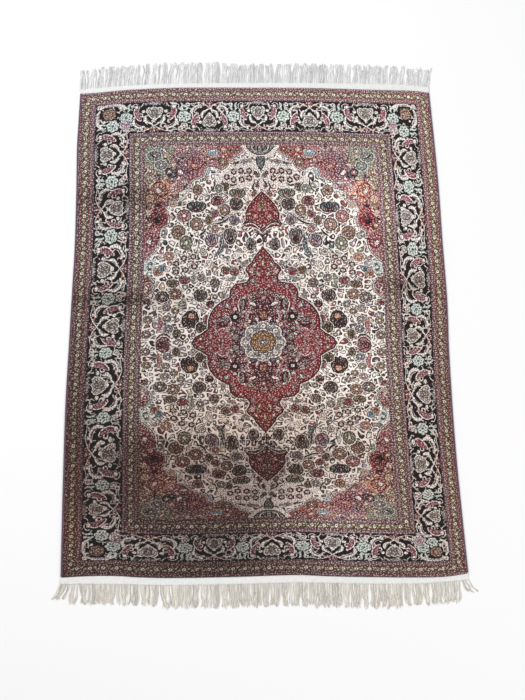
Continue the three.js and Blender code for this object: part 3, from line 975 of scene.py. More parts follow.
def pendant_pattern():
    """The pendant over the medallion, drawn for the far end."""
    whole = mirrored_half(PENDANT)
    motif = [
        (strip([(0, 340), (2, 356), (0, 372), (0, 390)], 4), "ink"),
        (shrunk(whole, -5), "ivory"),
        (shrunk(whole, -2), "ink"),
        (shrunk(whole, 2), "madder"),
        (shrunk(whole, 7), "ink"),
        (shrunk(whole, 9), "madder"),
        (curve_loop([(0, 500), (12, 484), (8, 466), (0, 458), (-8, 466), (-12, 484)]), "olive"),
        (disc(0, 480, 4, 6), "maroon"),
        (disc(0, 430, 8, 8, 1.4), "maroon"),
        (disc(0, 430, 4, 6, 1.4), "rose"),
    ]
    ground = shrunk(whole, 10)
    spots = scattered(
        random.Random(9), 30000, (7, 5.6, 4.4, 3.4), 1.6, (0, 390), (66, 520),
        [(0, 480, 14), (0, 430, 10), (24, 436, 14), (26, 462, 10)],
        lambda x, y, r: x > r and inside(ground, x, y))
    motif += both_ways(planted(random.Random(10), spots, ("ink", "maroon"),
                               ("rose", "clay", "grey", "ivory", "tan"), ("ivory", "cream")))
    motif += both_ways([
        (strip([(6, 394), (24, 410), (44, 417), (60, 412)], 7), "ink"),
        (strip([(8, 394), (26, 409), (44, 414), (58, 410)], 3), "ivory"),
        (scallop(24, 436, 13, 6, 0.14), "maroon"),
        (scallop(24, 436, 10.5, 6, 0.2), "rose"),
        (disc(24, 436, 4, 6), "cream"),
        (scallop(26, 462, 9, 5, 0.14), "maroon"),
        (scallop(26, 462, 7, 5, 0.2), "rose"),
        (disc(44, 440, 4, 5), "ink"),
        (leaf([(8, 452), (14, 470), (8, 490)], 4), "rose"),
        (disc(9, 362, 6.4, 7), "ink"),
        (disc(9, 362, 2.4, 5), "rose"),
        (leaf([(0, 372), (12, 380), (22, 374)], 5), "ink"),
    ])
    return motif


# Inside a quarter of the medallion: its dark middle, and the red shape at its side
MEDALLION_MIDDLE = [(0, 196), (34, 190), (60, 172), (84, 150), (92, 118), (112, 100), (146, 88),
                    (160, 60), (168, 28), (196, 0)]
MEDALLION_CHEEK = [(104, 58), (128, 74), (152, 62), (172, 30), (190, 0)]
# What the medallion's small blossoms keep clear of: (x, y, radius)
MEDALLION_TAKEN = [
    (72, 172, 12), (36, 136, 17), (68, 134, 18), (54, 92, 14), (95, 92, 17), (140, 82, 10),
    (134, 60, 12), (140, 36, 12), (60, 24, 14), (92, 20, 13), (176, 22, 11), (0, 98, 20),
    (0, 160, 12), (0, 222, 10), (0, 285, 16), (24, 186, 8), (50, 184, 8), (30, 60, 14),
    (20, 84, 12),
]


def medallion_ground(whole):
    """The medallion's outlines and its patches of red."""
    below = (np.array(MEDALLION_CHEEK) * (1, -1))[::-1][1:]
    cheek = np.vstack([MEDALLION_CHEEK, below, [(108, 0)]])
    return [
        (shrunk(whole, -6), "ivory"),
        (shrunk(whole, -3), "ink"),
        (shrunk(whole, 1.5), "madder"),
        (shrunk(whole, 7), "maroon"),
        (shrunk(whole, 10), "madder"),
        (curve_loop(mirrored_loop(MEDALLION_MIDDLE), 2), "maroon"),
    ] + both_ways([(curve_loop(cheek, 2), "madder")])


def medallion_flowers():
    """The charted flowers and leaves of a quarter of the medallion."""
    return [
        (leaf([(6, 316), (18, 282), (34, 254)], 6), "brick"),
        (leaf([(8, 246), (20, 226), (34, 240)], 8), "crimson"),
        (leaf([(14, 196), (24, 212), (34, 206)], 6), "rose"),
        (leaf([(10, 170), (24, 186), (48, 184), (70, 176)], 5), "crimson"),
        (disc(72, 172, 12, 8, 0.7), "crimson"),
        (strip([(84, 186), (98, 168), (102, 144)], 2.4), "ivory"),
        (leaf([(22, 130), (34, 138), (50, 140)], 15), "ink"),
        (leaf([(26, 132), (36, 139), (48, 141)], 10), "ivory"),
        (leaf([(66, 158), (64, 136), (70, 112)], 13), "ink"),
        (leaf([(68, 154), (67, 136), (71, 116)], 7), "grey"),
        (strip([(78, 160), (86, 138), (80, 112)], 2.6), "ivory"),
        (leaf([(52, 112), (58, 92), (50, 74)], 8), "rose"),
        (strip([(44, 110), (52, 92), (44, 72)], 2.2), "ivory"),
        (strip([(92, 48), (112, 50), (130, 58), (140, 72)], 3.2), "grey"),
        (leaf([(118, 66), (134, 60), (150, 64)], 8), "ink"),
        (leaf([(124, 80), (136, 84), (148, 76)], 11), "slate"),
        (leaf([(120, 30), (140, 44), (156, 24)], 9), "crimson"),
        (strip([(116, 40), (138, 52), (160, 32)], 2.4), "ivory"),
        (leaf([(132, 8), (142, 28), (136, 46)], 10), "rose"),
        (leaf([(176, 54), (188, 34), (202, 22)], 7), "crimson"),
        (leaf([(196, 20), (208, 12), (222, 6)], 7), "rose"),
        (leaf([(104, 108), (126, 98), (150, 90)], 9), "maroon"),
        (leaf([(110, 104), (128, 97), (146, 91)], 4), "crimson"),
        (leaf([(84, 40), (96, 26), (92, 8)], 9), "brown"),
        (strip([(80, 56), (98, 46), (106, 26), (104, 0)], 2.2), "rose"),
        *ring_flower(95, 92, 15, "ink", "peach", "maroon"),
        *rosette(60, 24, 13, "slate", "teal", "lilac", 1.0, 6),
        *rosette(30, 60, 14, "slate", "ink", "grey", 1.0, 6),
        *rosette(92, 20, 12, "grey", "maroon", "rose", 1.0, 6),
        *rosette(176, 22, 10, "rose", "madder", "ivory", 1.0, 5),
        (drop(16, 70, 24, 11, -0.35), "lilac"),
        (drop(18, 74, 15, 6, -0.35), "ivory"),
    ]


def medallion_fill(whole):
    """Stems, and the small blossoms, of a quarter of the medallion."""
    ground = shrunk(whole, 11)
    high = (240, 345)
    spots = scattered(
        random.Random(3), 50000, (11, 9.4, 8, 6.6, 5.2, 4.2), 1.8, (0, 0), high, MEDALLION_TAKEN,
        lambda x, y, r: x > r and y > r and math.hypot(x, y) > 72 + r and inside(ground, x, y))
    under = scrolls(
        random.Random(5), 45, (0, 0), high, 3, ("ink", "rose", "grey"),
        ("ink", "rose", "grey", "clay", "stone", "crimson", "ivory", "lilac"),
        lambda x, y: x > 0 and y > 0 and math.hypot(x, y) > 84 and inside(ground, x, y))
    blossoms = planted(
        random.Random(4), spots, ("ink", "ink", "maroon", "brown"),
        ("rose", "grey", "clay", "lilac", "tan", "ivory", "rose", "stone"),
        ("ivory", "cream", "rose"))
    return under, blossoms


def medallion_axis():
    """The flowers up the medallion's middle line, drawn for its far half."""
    return [
        (disc(0, 98, 15, 10, 1.25), "ink"), (disc(0, 98, 12.5, 10, 1.25), "brick"),
        (disc(0, 98, 8, 8, 1.3), "gold"), (disc(0, 98, 3, 6), "maroon"),
        (drop(0, 270, 30, 13, 0), "ink"), (drop(0, 274, 24, 9, 0), "cream"),
        (scallop(0, 222, 9, 5, 0.16), "ink"), (scallop(0, 222, 7, 5, 0.2), "rose"),
        (scallop(0, 160, 11, 6, 0.16), "ink"), (scallop(0, 160, 9, 6, 0.2), "rose"),
        (disc(0, 160, 3.4, 6), "ivory"),
    ]


def medallion_zone():
    """The light zone round the medallion's heart, with its eight flowers."""
    zone = scallop(0, 0, 76, 8, 0.16, 1.0, math.pi / 8)
    motif = [(zone, "ivory"), (zone * 0.95, "grey"), (zone * 0.82, "stone"),
             (zone * 0.64, "ivory"), (zone * 0.6, "slate")]
    for x, y in spaced_round(8, 58):
        motif += [(scallop(x, y, 11, 6, 0.14), "slate"), (scallop(x, y, 9, 6, 0.2), "ivory"),
                  (disc(x, y, 4, 6), "rose")]
    return motif


def medallion_heart():
    """The gold rings in the medallion's middle."""
    return [
        (scallop(0, 0, 43, 12, 0.1), "ink"),
        (scallop(0, 0, 40, 12, 0.12), "amber"),
        (scallop(0, 0, 27, 12, 0.1), "ink"),
        (scallop(0, 0, 25, 12, 0.12), "amber"),
        (scallop(0, 0, 17, 8, 0.3), "slate"),
        (disc(0, 0, 8, 8), "plum"),
        (disc(0, 0, 4, 6), "ivory"),
    ] + [(disc(x, y, 3.4, 5), "brown") for x, y in spaced_round(12, 34, 0.5)]


def medallion_pattern():
    """The red medallion with its gold-ringed heart."""
    whole = mirrored_loop(MEDALLION)
    under, blossoms = medallion_fill(whole)
    quarter = under + medallion_flowers() + blossoms
    return (medallion_ground(whole) + both_ends(both_ways(quarter)) + medallion_zone()
            + both_ends(medallion_axis()) + medallion_heart())


def end_fan():
    """The half palmette on the field's end edge, drawn for the far end."""
    motif = [
        (curve_loop([(-62, 694), (-50, 664), (-34, 644), (0, 636), (34, 644), (50, 664),
                     (62, 694)]), "ivory"),
        (curve_loop([(-46, 694), (-38, 668), (-20, 654), (0, 650), (20, 654), (38, 668),
                     (46, 694)]), "ink"),
        (curve_loop([(-42, 694), (-35, 671), (-18, 658), (0, 654), (18, 658), (35, 671),
                     (42, 694)]), "grey"),
        (curve_loop([(-12, 646), (-16, 622), (-10, 602), (0, 590), (10, 602), (16, 622),
                     (12, 646)]), "ink"),
        (curve_loop([(-9, 644), (-12, 622), (-8, 606), (0, 596), (8, 606), (12, 622),
                     (9, 644)]), "slate"),
    ]
    motif += both_ways([
        (leaf([(6, 692), (8, 676), (7, 660)], 5), "ink"),
        (leaf([(18, 692), (22, 678), (17, 664)], 5), "ink"),
        (strip([(32, 690), (32, 678), (26, 668)], 4), "ink"),
        (strip([(30, 690), (26, 674), (14, 664)], 2.6), "ivory"),
        (strip([(18, 690), (16, 678), (8, 670)], 2.6), "ink"),
        (strip([(50, 640), (76, 632), (104, 620)], 7), "ivory"),
        (strip([(30, 632), (52, 622), (80, 616)], 3), "slate"),
        (disc(38, 626, 8, 7), "grey"),
        (disc(20, 582, 7, 7), "ink"),
        (disc(20, 582, 3, 5), "rose"),
        (leaf([(6, 560), (16, 544), (10, 528)], 8), "dusk"),
        (leaf([(22, 552), (30, 536), (24, 522)], 6), "ink"),
    ])
    return motif


def field_pattern():
    """Everything inside the black band, its inner guards included."""
    rng = random.Random(7)
    pendant = mirrored_half(PENDANT)
    medallion = mirrored_loop(MEDALLION)
    spandrel = np.array(SPANDREL, float)
    keep_off = [(x, y, size * 1.1) for x, y, size, *_ in RING_FLOWERS + ASTERS]
    keep_off += [(x, y, (wide + tall) * 0.27) for x, y, wide, tall, *_ in PALMETTES]
    for _, width, spine in LEAVES:
        keep_off += [(x, y, width * 0.5) for x, y in spine]
    quarter = garden_fill(keep_off, [pendant, medallion, spandrel], rng)
    for yarn, width, spine in LEAVES:
        quarter.append((leaf(spine, width + 5), "ivory"))
        quarter.append((leaf(spine, width + 2.6), "ink"))
        quarter.append((leaf(spine, width), yarn))
    for x, y, wide, tall, turn, flesh, heart in PALMETTES:
        quarter += palmette(x, y, wide, tall, flesh, heart, turn)
    for x, y, size, ring, heart in RING_FLOWERS:
        quarter += ring_flower(x, y, size, ring, heart)
    for x, y, size, petals, ribs, heart in ASTERS:
        quarter += aster(x, y, size, petals, ribs, heart)
    quarter += corner_pattern(rng)
    quarter += side_notch_pattern()
    x, y = FIELD_GROUND
    motif = [(box(-x, -y, x, y), "garden")]
    motif += four_ways(quarter)
    motif += both_ends(end_fan() + pendant_pattern())
    motif += medallion_pattern()
    motif += guards(BLACK_BAND_IN, INNER_GUARDS)
    motif += rim(BLACK_BAND_IN, 1.4, "ink")
    return motif


# Weaving the chart into cloth

GRID_STEP = 13
SORT_CELL = 16
# Keeps the rim's points out of line while the underside is closed
BOW = 0.1


def linear(level):
    """A screen colour level from 0 to 255 as linear light."""
    share = level / 255
    return share / 12.92 if share <= 0.04045 else ((share + 0.055) / 1.055) ** 2.4


def covered(outline, spots):
    """Which spots a closed outline goes round."""
    x, y = spots[:, :1], spots[:, 1:]
    x0, y0 = outline.T
    x1, y1 = np.roll(outline, -1, 0).T
    rise = np.where(y1 == y0, 1, y1 - y0)
    right = ((y0 > y) != (y1 > y)) & (x < (x1 - x0) * (y - y0) / rise + x0)
    return (right * np.sign(y1 - y0)).sum(1) != 0


def top_outlines(outlines, spots):
    """For each spot, the number of the last outline in painting order that covers it."""
    corner = spots.min(0) - SORT_CELL
    columns = int(np.ptp(spots[:, 0]) / SORT_CELL) + 4
    cells = ((spots - corner) / SORT_CELL).astype(int)
    key = cells[:, 1] * columns + cells[:, 0]
    order = np.argsort(key, kind="stable")
    key = key[order]
    top = np.full(len(spots), -1)
    for i, outline in enumerate(outlines):
        low = np.floor((outline.min(0) - corner) / SORT_CELL).astype(int).clip(0)
        high = np.floor((outline.max(0) - corner) / SORT_CELL).astype(int).clip(0)
        high[0] = min(high[0], columns - 1)
        rows = np.arange(low[1], high[1] + 1) * columns
        starts = np.searchsorted(key, rows + low[0])
        ends = np.searchsorted(key, rows + high[0] + 1)
        near = np.concatenate([order[a:b] for a, b in zip(starts, ends)])
        if len(near):
            top[near[covered(outline, spots[near])]] = i
    return top


def within(spots, region):
    """Which spots lie inside a rectangle given as x0, y0, x1, y1."""
    x0, y0, x1, y1 = region
    return (spots[:, 0] > x0) & (spots[:, 0] < x1) & (spots[:, 1] > y0) & (spots[:, 1] < y1)


def divided(line):
    """A closed outline with its long sides divided, so that they follow the cloth."""
    after = np.roll(line, -1, 0)
    parts = np.ceil(np.hypot(*(after - line).T) / (2 * GRID_STEP)).astype(int).clip(1)
    return np.concatenate([
        a + (b - a) * np.arange(n)[:, None] / n for a, b, n in zip(line, after, parts)])


def weave_chart(motif, region, hole):
    """Outlines in painting order to points, triangles and each triangle's yarn colour."""
    x0, y0, x1, y1 = region
    points, edges, outlines, yarns = [], [], [], []

    def add_line(line):
        start = len(points)
        points.extend(tuple(p) for p in line.tolist())
        edges.extend((start + k, start + (k + 1) % len(line)) for k in range(len(line)))

    add_line(divided(box(*region)))
    if hole:
        add_line(divided(box(*hole)))
    for outline, yarn_name in motif:
        line = outline.round(2)
        line = line[np.abs(line - np.roll(line, 1, 0)).max(1) > 0.05]
        low, high = line.min(0), line.max(0)
        if len(line) < 3 or low[0] > x1 or low[1] > y1 or high[0] < x0 or high[1] < y0:
            continue
        outlines.append(divided(line))
        yarns.append(yarn_name)
        add_line(outlines[-1])
    points += [
        (float(x), float(y))
        for x in np.arange(x0 + GRID_STEP / 2, x1, GRID_STEP)
        for y in np.arange(y0 + GRID_STEP / 2, y1, GRID_STEP)
    ]
    verts, _, tris, _, _, _ = delaunay_2d_cdt(points, edges, [], 0, 1e-4, False)
    at = np.array([tuple(v) for v in verts])
    tris = np.array(tris)
    middle = at[tris].mean(1)
    keep = within(middle, region)
    if hole:
        keep &= ~within(middle, hole)
    tris, middle = tris[keep], middle[keep]
    top = top_outlines(outlines, middle)
    colours = {
        name: [linear(c) for c in rgb] + [FINE.get(name, FINE_OTHERS)]
        for name, rgb in YARNS.items()
    }
    paint = np.array([colours[yarns[i]] for i in top])
    used, index = np.unique(tris, return_inverse=True)
    return at[used], index.reshape(-1, 3), paint


# Painted light and shade on the pile, for how the nap's lie takes the light and how the light
# falls,
# lighter to the far right: its level, its change across and along, how strongly red, green and blue
# follow it, and how they change across
PAINTED_SHADE_LEVEL = 0.66
PAINTED_SHADE_ACROSS = 0.14
PAINTED_SHADE_ALONG = 0.24
PAINTED_SHADE_TINT = (0.86, 1.06, 1.18)
PAINTED_SHADE_WARMTH_ACROSS = (0.06, 0, -0.07)
# Darker and lighter patches of painted shade and light, the narrow dark bands painted shade in the
# folds' creases: (x, y, reach across, reach along, strength)
PAINTED_SHADE_PATCHES = [
    (-430, 486, 220, 44, -0.4), (-450, 90, 170, 34, -0.4), (480, 125, 100, 38, -0.45),
    (-330, -600, 190, 150, -0.44), (-130, -700, 170, 170, -0.4), (10, -540, 80, 90, -0.4),
    (590, -250, 50, 300, -0.22), (350, 480, 140, 170, 0.46), (460, 440, 80, 80, 0.3),
    (300, -200, 150, 90, 0.24), (-330, 280, 110, 90, 0.08), (100, 860, 500, 80, 0.16),
    (250, -760, 110, 110, 0.4), (-590, -350, 60, 420, -0.24), (-450, -400, 110, 110, -0.1),
    (0, 640, 60, 120, -0.1), (0, -60, 180, 200, 0.14), (-150, -890, 420, 50, -0.16),
    (-120, -420, 300, 180, -0.16), (0, 480, 140, 110, -0.14), (320, -20, 110, 260, 0.08),
    (-160, -90, 80, 80, -0.12), (220, -470, 170, 160, -0.14), (-300, 80, 120, 200, -0.1),
]
# Where the yarns look redder or warmer, partly their own colour and partly painted light: (x, y,
# reach across, reach along, red, green, blue)
PAINTED_WARM_PATCHES = [
    (-590, -640, 60, 220, 0.3, 0.03, -0.16), (-320, -590, 200, 140, 0.12, -0.16, -0.14),
    (360, 420, 90, 120, 0.1, -0.06, -0.08), (0, -300, 130, 130, 0.12, -0.04, -0.08),
    (300, -640, 160, 90, 0.08, -0.06, -0.06), (50, -890, 560, 60, -0.06, 0.02, 0.08),
    (-130, -430, 300, 200, 0.02, -0.06, -0.2), (240, -400, 180, 220, 0.02, -0.03, -0.08),
    (0, 440, 70, 90, 0.25, 0.12, 0.1),
]


def painted_shade_of(plan):
    """The painted light and shade at points of the rug: warmer where it is darker."""
    across = plan[:, 0] / CHART_HALF[0]
    shade = PAINTED_SHADE_LEVEL + PAINTED_SHADE_ACROSS * across + PAINTED_SHADE_ALONG * plan[:, 1] / CHART_HALF[1]
    for x, y, reach_x, reach_y, strength in PAINTED_SHADE_PATCHES:
        away = ((plan[:, 0] - x) / reach_x) ** 2 + ((plan[:, 1] - y) / reach_y) ** 2
        shade += strength * np.exp(-away)
    tint = np.maximum(shade, 0.14)[:, None] ** np.array(PAINTED_SHADE_TINT)
    tint *= 1 + across[:, None] * np.array(PAINTED_SHADE_WARMTH_ACROSS)
    for x, y, reach_x, reach_y, *change in PAINTED_WARM_PATCHES:
        away = ((plan[:, 0] - x) / reach_x) ** 2 + ((plan[:, 1] - y) / reach_y) ** 2
        tint *= 1 + np.exp(-away)[:, None] * np.array(change)
    return tint


def on_rectangle(spots, rectangle):
    """Which spots lie on a rectangle's sides."""
    x0, y0, x1, y1 = rectangle
    reach = np.abs(spots - ((x0 + x1) / 2, (y0 + y1) / 2)) - ((x1 - x0) / 2, (y1 - y0) / 2)
    return np.abs(reach.max(1)) < 1e-3


def underside(rim, rim_edges, region, hole):
    """Triangles that close the cloth below, between the points of its rim."""
    half = np.array((region[2] - region[0], region[3] - region[1])) / 2
    share = (rim - (region[0] + half[0], region[1] + half[1])) / half
    bowed = share * half * (1 + BOW * (1 - share[:, ::-1] ** 2))
    _, _, floor, origin, _, _ = delaunay_2d_cdt(
        [tuple(p) for p in bowed.tolist()], rim_edges.tolist(), [], 0, 1e-8, True)
    same = np.array([o[0] for o in origin])
    floor = same[np.array(floor)]
    if hole:
        floor = floor[~on_rectangle(rim, hole)[floor].all(1)]
    return floor[:, ::-1]


def slab(name, motif, region, hole, material):
    """A slab of cloth with the chart on its top, closed round its sides and below."""
    at, tris, paint = weave_chart(motif, region, hole)
    plan = woven(at)
    height = PILE_TOP + relief(plan)
    edge = np.minimum(PILE_HALF[0] - np.abs(at[:, 0]), PILE_HALF[1] - np.abs(at[:, 1]))
    fall = np.clip(1 - edge / PILE_SHOULDER, 0, 1)
    height = height + (PILE_EDGE_TOP - height) * fall**1.5
    edges = np.concatenate([tris[:, [0, 1]], tris[:, [1, 2]], tris[:, [2, 0]]])
    _, index, count = np.unique(np.sort(edges, 1), axis=0, return_index=True, return_counts=True)
    outer = edges[index[count == 1]]
    ring, ring_ends = np.unique(outer, return_inverse=True)
    ring_ends = ring_ends.reshape(-1, 2)
    top_count = len(at)
    walls = np.concatenate([
        np.stack([outer[:, 1], outer[:, 0], ring_ends[:, 0] + top_count], 1),
        np.stack([outer[:, 1], ring_ends[:, 0] + top_count, ring_ends[:, 1] + top_count], 1),
    ])
    floor = underside(at[ring], ring_ends, region, hole)
    points = placed(
        np.vstack([plan, plan[ring]]), np.concatenate([height, np.zeros(len(ring))]))
    mesh = plain_mesh(name, points, np.concatenate([tris, walls, floor + top_count]))
    backing = np.array([linear(v) for v in YARNS["stone"]] + [0])
    add_colour(mesh, "yarn", np.concatenate(
        [paint, np.tile(backing, (len(walls) + len(floor), 1))]))
    # Painted light and shade for each point of the top; the underside's points are left untinted
    add_tint(mesh, "painted_shade", np.concatenate([painted_shade_of(plan), np.ones((len(ring), 3))]))
    add_uv(mesh, "Weave", np.vstack([at, at[ring]]) * MM)
    mark_sharp(mesh, {tuple(sorted(e)) for e in outer.tolist()})
    return finish_piece(mesh, name, material)


def plain_mesh(name, points, faces):
    """A smooth mesh of faces that all have the same number of corners."""
    mesh = bpy.data.meshes.new(name)
    mesh.vertices.add(len(points))
    mesh.vertices.foreach_set("co", np.asarray(points, np.float32).ravel())
    faces = np.asarray(faces, np.int32)
    mesh.loops.add(faces.size)
    mesh.loops.foreach_set("vertex_index", faces.ravel())
    mesh.polygons.add(len(faces))
    mesh.polygons.foreach_set("loop_start", np.arange(len(faces), dtype=np.int32) * faces.shape[1])
    mesh.update(calc_edges=True)
    mesh.validate()
    mesh.polygons.foreach_set("use_smooth", np.ones(len(mesh.polygons), bool))
    return mesh


def add_colour(mesh, name, per_face):
    """A colour and its fourth value for each face, kept on its corners."""
    corners = np.repeat(per_face, 3, 0)
    layer = mesh.color_attributes.new(name, "FLOAT_COLOR", "CORNER")
    layer.data.foreach_set("color", corners.astype(np.float32).ravel())


def add_tint(mesh, name, per_point):
    """A colour for each point."""
    layer = mesh.color_attributes.new(name, "FLOAT_COLOR", "POINT")
    rgba = np.hstack([per_point, np.ones((len(per_point), 1))])
    layer.data.foreach_set("color", rgba.astype(np.float32).ravel())


def add_value(mesh, name, per_point):
    """A value for each point."""
    layer = mesh.attributes.new(name, "FLOAT", "POINT")
    layer.data.foreach_set("value", np.asarray(per_point, np.float32))


def add_uv(mesh, name, per_point):
    """A UV map from a flat place for each point."""
    index = np.empty(len(mesh.loops), np.int32)
    mesh.loops.foreach_get("vertex_index", index)
    layer = mesh.uv_layers.new(name=name)
    layer.data.foreach_set("uv", np.asarray(per_point, np.float32)[index].ravel())


def mark_sharp(mesh, pairs):
    """Sharp edges, given as pairs of point numbers."""
    layer = mesh.attributes.new("sharp_edge", "BOOLEAN", "EDGE")
    ends = np.empty(len(mesh.edges) * 2, np.int32)
    mesh.edges.foreach_get("vertices", ends)
    ends = np.sort(ends.reshape(-1, 2), 1).tolist()
    layer.data.foreach_set("value", np.array([tuple(e) in pairs for e in ends], bool))


def finish_piece(mesh, name, material):
    """The mesh as a piece of the rug, in its material."""
    mesh.materials.clear()
    mesh.materials.append(material)
    piece = bpy.data.objects.new(name, mesh)
    bpy.context.scene.collection.objects.link(piece)
    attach(piece, "root")
    return piece


# Materials

# The fine knotting's cells: (how many a metre, how uneven)
HEAD_CELLS = (48, 0.85)
PETAL_CELLS = (125, 0.9)
KNOTS_A_METRE = 620
CELL_SWAY = 0.014
# Widths and reaches inside a cell, as shares of it
VEIN_WIDTH = 0.1
SPECK_REACH = 0.17
HEART_REACH = 0.16
NET_WIDTHS = (-0.06, 0.3)
OUTLINE_WIDTH = 0.12
CURL_WIDTH = 0.09
CURL_BREAK = 0.55
BLOSSOM_VEINS = 0.65
# How much of the painted shade's tint light yarn is spared
PAINTED_SHADE_ON_LIGHT = 0.82
# Depth of the bump that the knots and ribs share, in metres
RELIEF = 0.0006


def add_node(tree, kind, inputs=None, **settings):
    """A node's outputs, with its inputs given a value or a link by name or number."""
    made = tree.nodes.new(kind)
    for key, value in settings.items():
        setattr(made, key, value)
    for key, value in (inputs or {}).items():
        if isinstance(value, bpy.types.NodeSocket):
            tree.links.new(value, made.inputs[key])
        else:
            made.inputs[key].default_value = value
    return made.outputs


def worked_out(tree, operation, a, b, clamp=False):
    """A value worked out of two values or numbers."""
    return add_node(tree, "ShaderNodeMath", {0: a, 1: b}, operation=operation, use_clamp=clamp)[0]


def dyed(levels):
    """A screen colour as a shader takes it."""
    return (*[linear(c) for c in levels], 1)


def new_material(name, roughness, sheen, sheen_tint):
    """A fibre's material, with its node tree and shader."""
    material = bpy.data.materials.new(name)
    material.use_nodes = True
    surface = material.node_tree.nodes["Principled BSDF"]
    surface.inputs["Roughness"].default_value = roughness
    surface.inputs["Specular IOR Level"].default_value = 0.2
    surface.inputs["Sheen Weight"].default_value = sheen
    surface.inputs["Sheen Roughness"].default_value = 0.45
    surface.inputs["Sheen Tint"].default_value = (*sheen_tint, 1)
    return material, material.node_tree, surface


def scaled_colour(tree, colour, factor):
    """A colour multiplied by a value."""
    return add_node(tree, "ShaderNodeVectorMath", {0: colour, "Scale": factor},
                    operation="SCALE")["Vector"]


def ranged(tree, value, low, high):
    """A value from 0 to 1 spread between two limits."""
    return add_node(tree, "ShaderNodeMapRange",
                    {"Value": value, "To Min": low, "To Max": high})["Result"]


def parts_of(tree, colour):
    """A colour's red, green and blue."""
    return add_node(tree, "ShaderNodeSeparateColor", {"Color": colour})


def laid_over(tree, below, above, share):
    """One colour or yarn over another by a share."""
    above = dyed(YARNS[above]) if isinstance(above, str) else above
    return add_node(tree, "ShaderNodeMix", {0: share, 6: below, 7: above}, data_type="RGBA")[2]


def cells(tree, vector, feature, scale, randomness):
    """A flat cell pattern's outputs."""
    return add_node(tree, "ShaderNodeTexVoronoi",
                    {"Vector": vector, "Scale": scale, "Randomness": randomness},
                    voronoi_dimensions="2D", feature=feature)


def relieve(tree, surface, height, strength, sunk=False):
    """Fine relief in the surface, sunk where the height is great if asked."""
    bump = add_node(tree, "ShaderNodeBump",
                    {"Height": height, "Strength": strength, "Distance": RELIEF}, invert=sunk)
    tree.links.new(bump["Normal"], surface.inputs["Normal"])


def blossom_colours(tree, cell_colour):
    """One of the blossom yarns for each cell."""
    ramp = tree.nodes.new("ShaderNodeValToRGB")
    ramp.color_ramp.interpolation = "CONSTANT"
    stops = ramp.color_ramp.elements
    for i, name in enumerate(BLOSSOM_YARNS):
        stop = stops[i] if i < 2 else stops.new(i / len(BLOSSOM_YARNS))
        stop.position = i / len(BLOSSOM_YARNS)
        stop.color = dyed(YARNS[name])
    tree.links.new(parts_of(tree, cell_colour)["Red"], ramp.inputs["Fac"])
    return ramp.outputs["Color"]


def packed_blossoms(tree, wavy, rims, veins, unevenness):
    """Small veined blossoms with a light heart, each in a dark line and a light net."""
    heads = cells(tree, wavy, "F1", *HEAD_CELLS)
    heart = worked_out(tree, "LESS_THAN", heads["Distance"], HEART_REACH)
    net = ranged(tree, unevenness, *NET_WIDTHS)
    outline = worked_out(tree, "ADD", net, OUTLINE_WIDTH)
    bloom = blossom_colours(tree, heads["Color"])
    bloom = laid_over(tree, bloom, "ink", worked_out(tree, "MULTIPLY", veins, BLOSSOM_VEINS))
    bloom = laid_over(tree, bloom, "ivory", heart)
    bloom = laid_over(tree, bloom, "ink", worked_out(tree, "LESS_THAN", rims, outline))
    return laid_over(tree, bloom, "ivory", worked_out(tree, "LESS_THAN", rims, net))


def broken_curls(tree, rims, unevenness):
    """Where light curls run over a dark ground."""
    broken = worked_out(tree, "GREATER_THAN", unevenness, CURL_BREAK)
    return worked_out(tree, "MULTIPLY", broken, worked_out(tree, "LESS_THAN", rims, CURL_WIDTH))


def fine_knotting(tree, weave, yarn_colour, fine):
    """The detail too fine for the mesh, over the yarn's colour and by its fine amount."""
    noise = add_node(tree, "ShaderNodeTexNoise", {"Vector": weave, "Scale": 42, "Detail": 1},
                     noise_dimensions="2D")
    wavy = add_node(tree, "ShaderNodeVectorMath",
                    {0: noise["Color"], 1: (CELL_SWAY, CELL_SWAY, 0), 2: weave},
                    operation="MULTIPLY_ADD")["Vector"]
    rims = cells(tree, wavy, "DISTANCE_TO_EDGE", *HEAD_CELLS)["Distance"]
    petals = cells(tree, wavy, "DISTANCE_TO_EDGE", *PETAL_CELLS)["Distance"]
    knots = cells(tree, wavy, "F1", *PETAL_CELLS)["Distance"]
    veins = worked_out(tree, "LESS_THAN", petals, VEIN_WIDTH)
    specks = worked_out(tree, "LESS_THAN", knots, SPECK_REACH)
    blossoms = packed_blossoms(tree, wavy, rims, veins, noise["Fac"])
    curls = broken_curls(tree, rims, noise["Fac"])

    veined = worked_out(tree, "MULTIPLY", fine, 1.0, True)
    packed = worked_out(tree, "SUBTRACT", fine, 1.0, True)
    dark = worked_out(tree, "MULTIPLY", fine, -1.0, True)
    colour = laid_over(tree, yarn_colour, "ink", worked_out(tree, "MULTIPLY", veins, veined))
    colour = laid_over(tree, colour, "ivory", worked_out(tree, "MULTIPLY", specks, veined))
    colour = laid_over(tree, colour, blossoms, packed)
    return laid_over(tree, colour, "ivory", worked_out(tree, "MULTIPLY", curls, dark))


def attribute(tree, name):
    """The outputs of one of the piece's own attributes."""
    return add_node(tree, "ShaderNodeAttribute", attribute_name=name)


def painted_shade_over(tree, colour):
    """The painted shade's tint, weaker on light yarn, which keeps its sparkle in dark places."""
    painted_shade = attribute(tree, "painted_shade")["Color"]
    kept = worked_out(tree, "MULTIPLY", parts_of(tree, colour)["Green"], PAINTED_SHADE_ON_LIGHT)
    root = worked_out(tree, "POWER", parts_of(tree, painted_shade)["Green"], 0.5)
    kept = worked_out(tree, "MULTIPLY", kept, root, True)
    return laid_over(tree, painted_shade, (1, 1, 1, 1), kept)


def abrash(tree, weave):
    """Clouds of slightly lighter and darker dye, drawn out across the rug."""
    stretched = add_node(tree, "ShaderNodeMapping", {"Vector": weave, "Scale": (0.5, 2.2, 1)})[0]
    clouds = add_node(tree, "ShaderNodeTexNoise", {"Vector": stretched, "Scale": 9, "Detail": 3})
    return ranged(tree, clouds["Fac"], 0.88, 1.12)


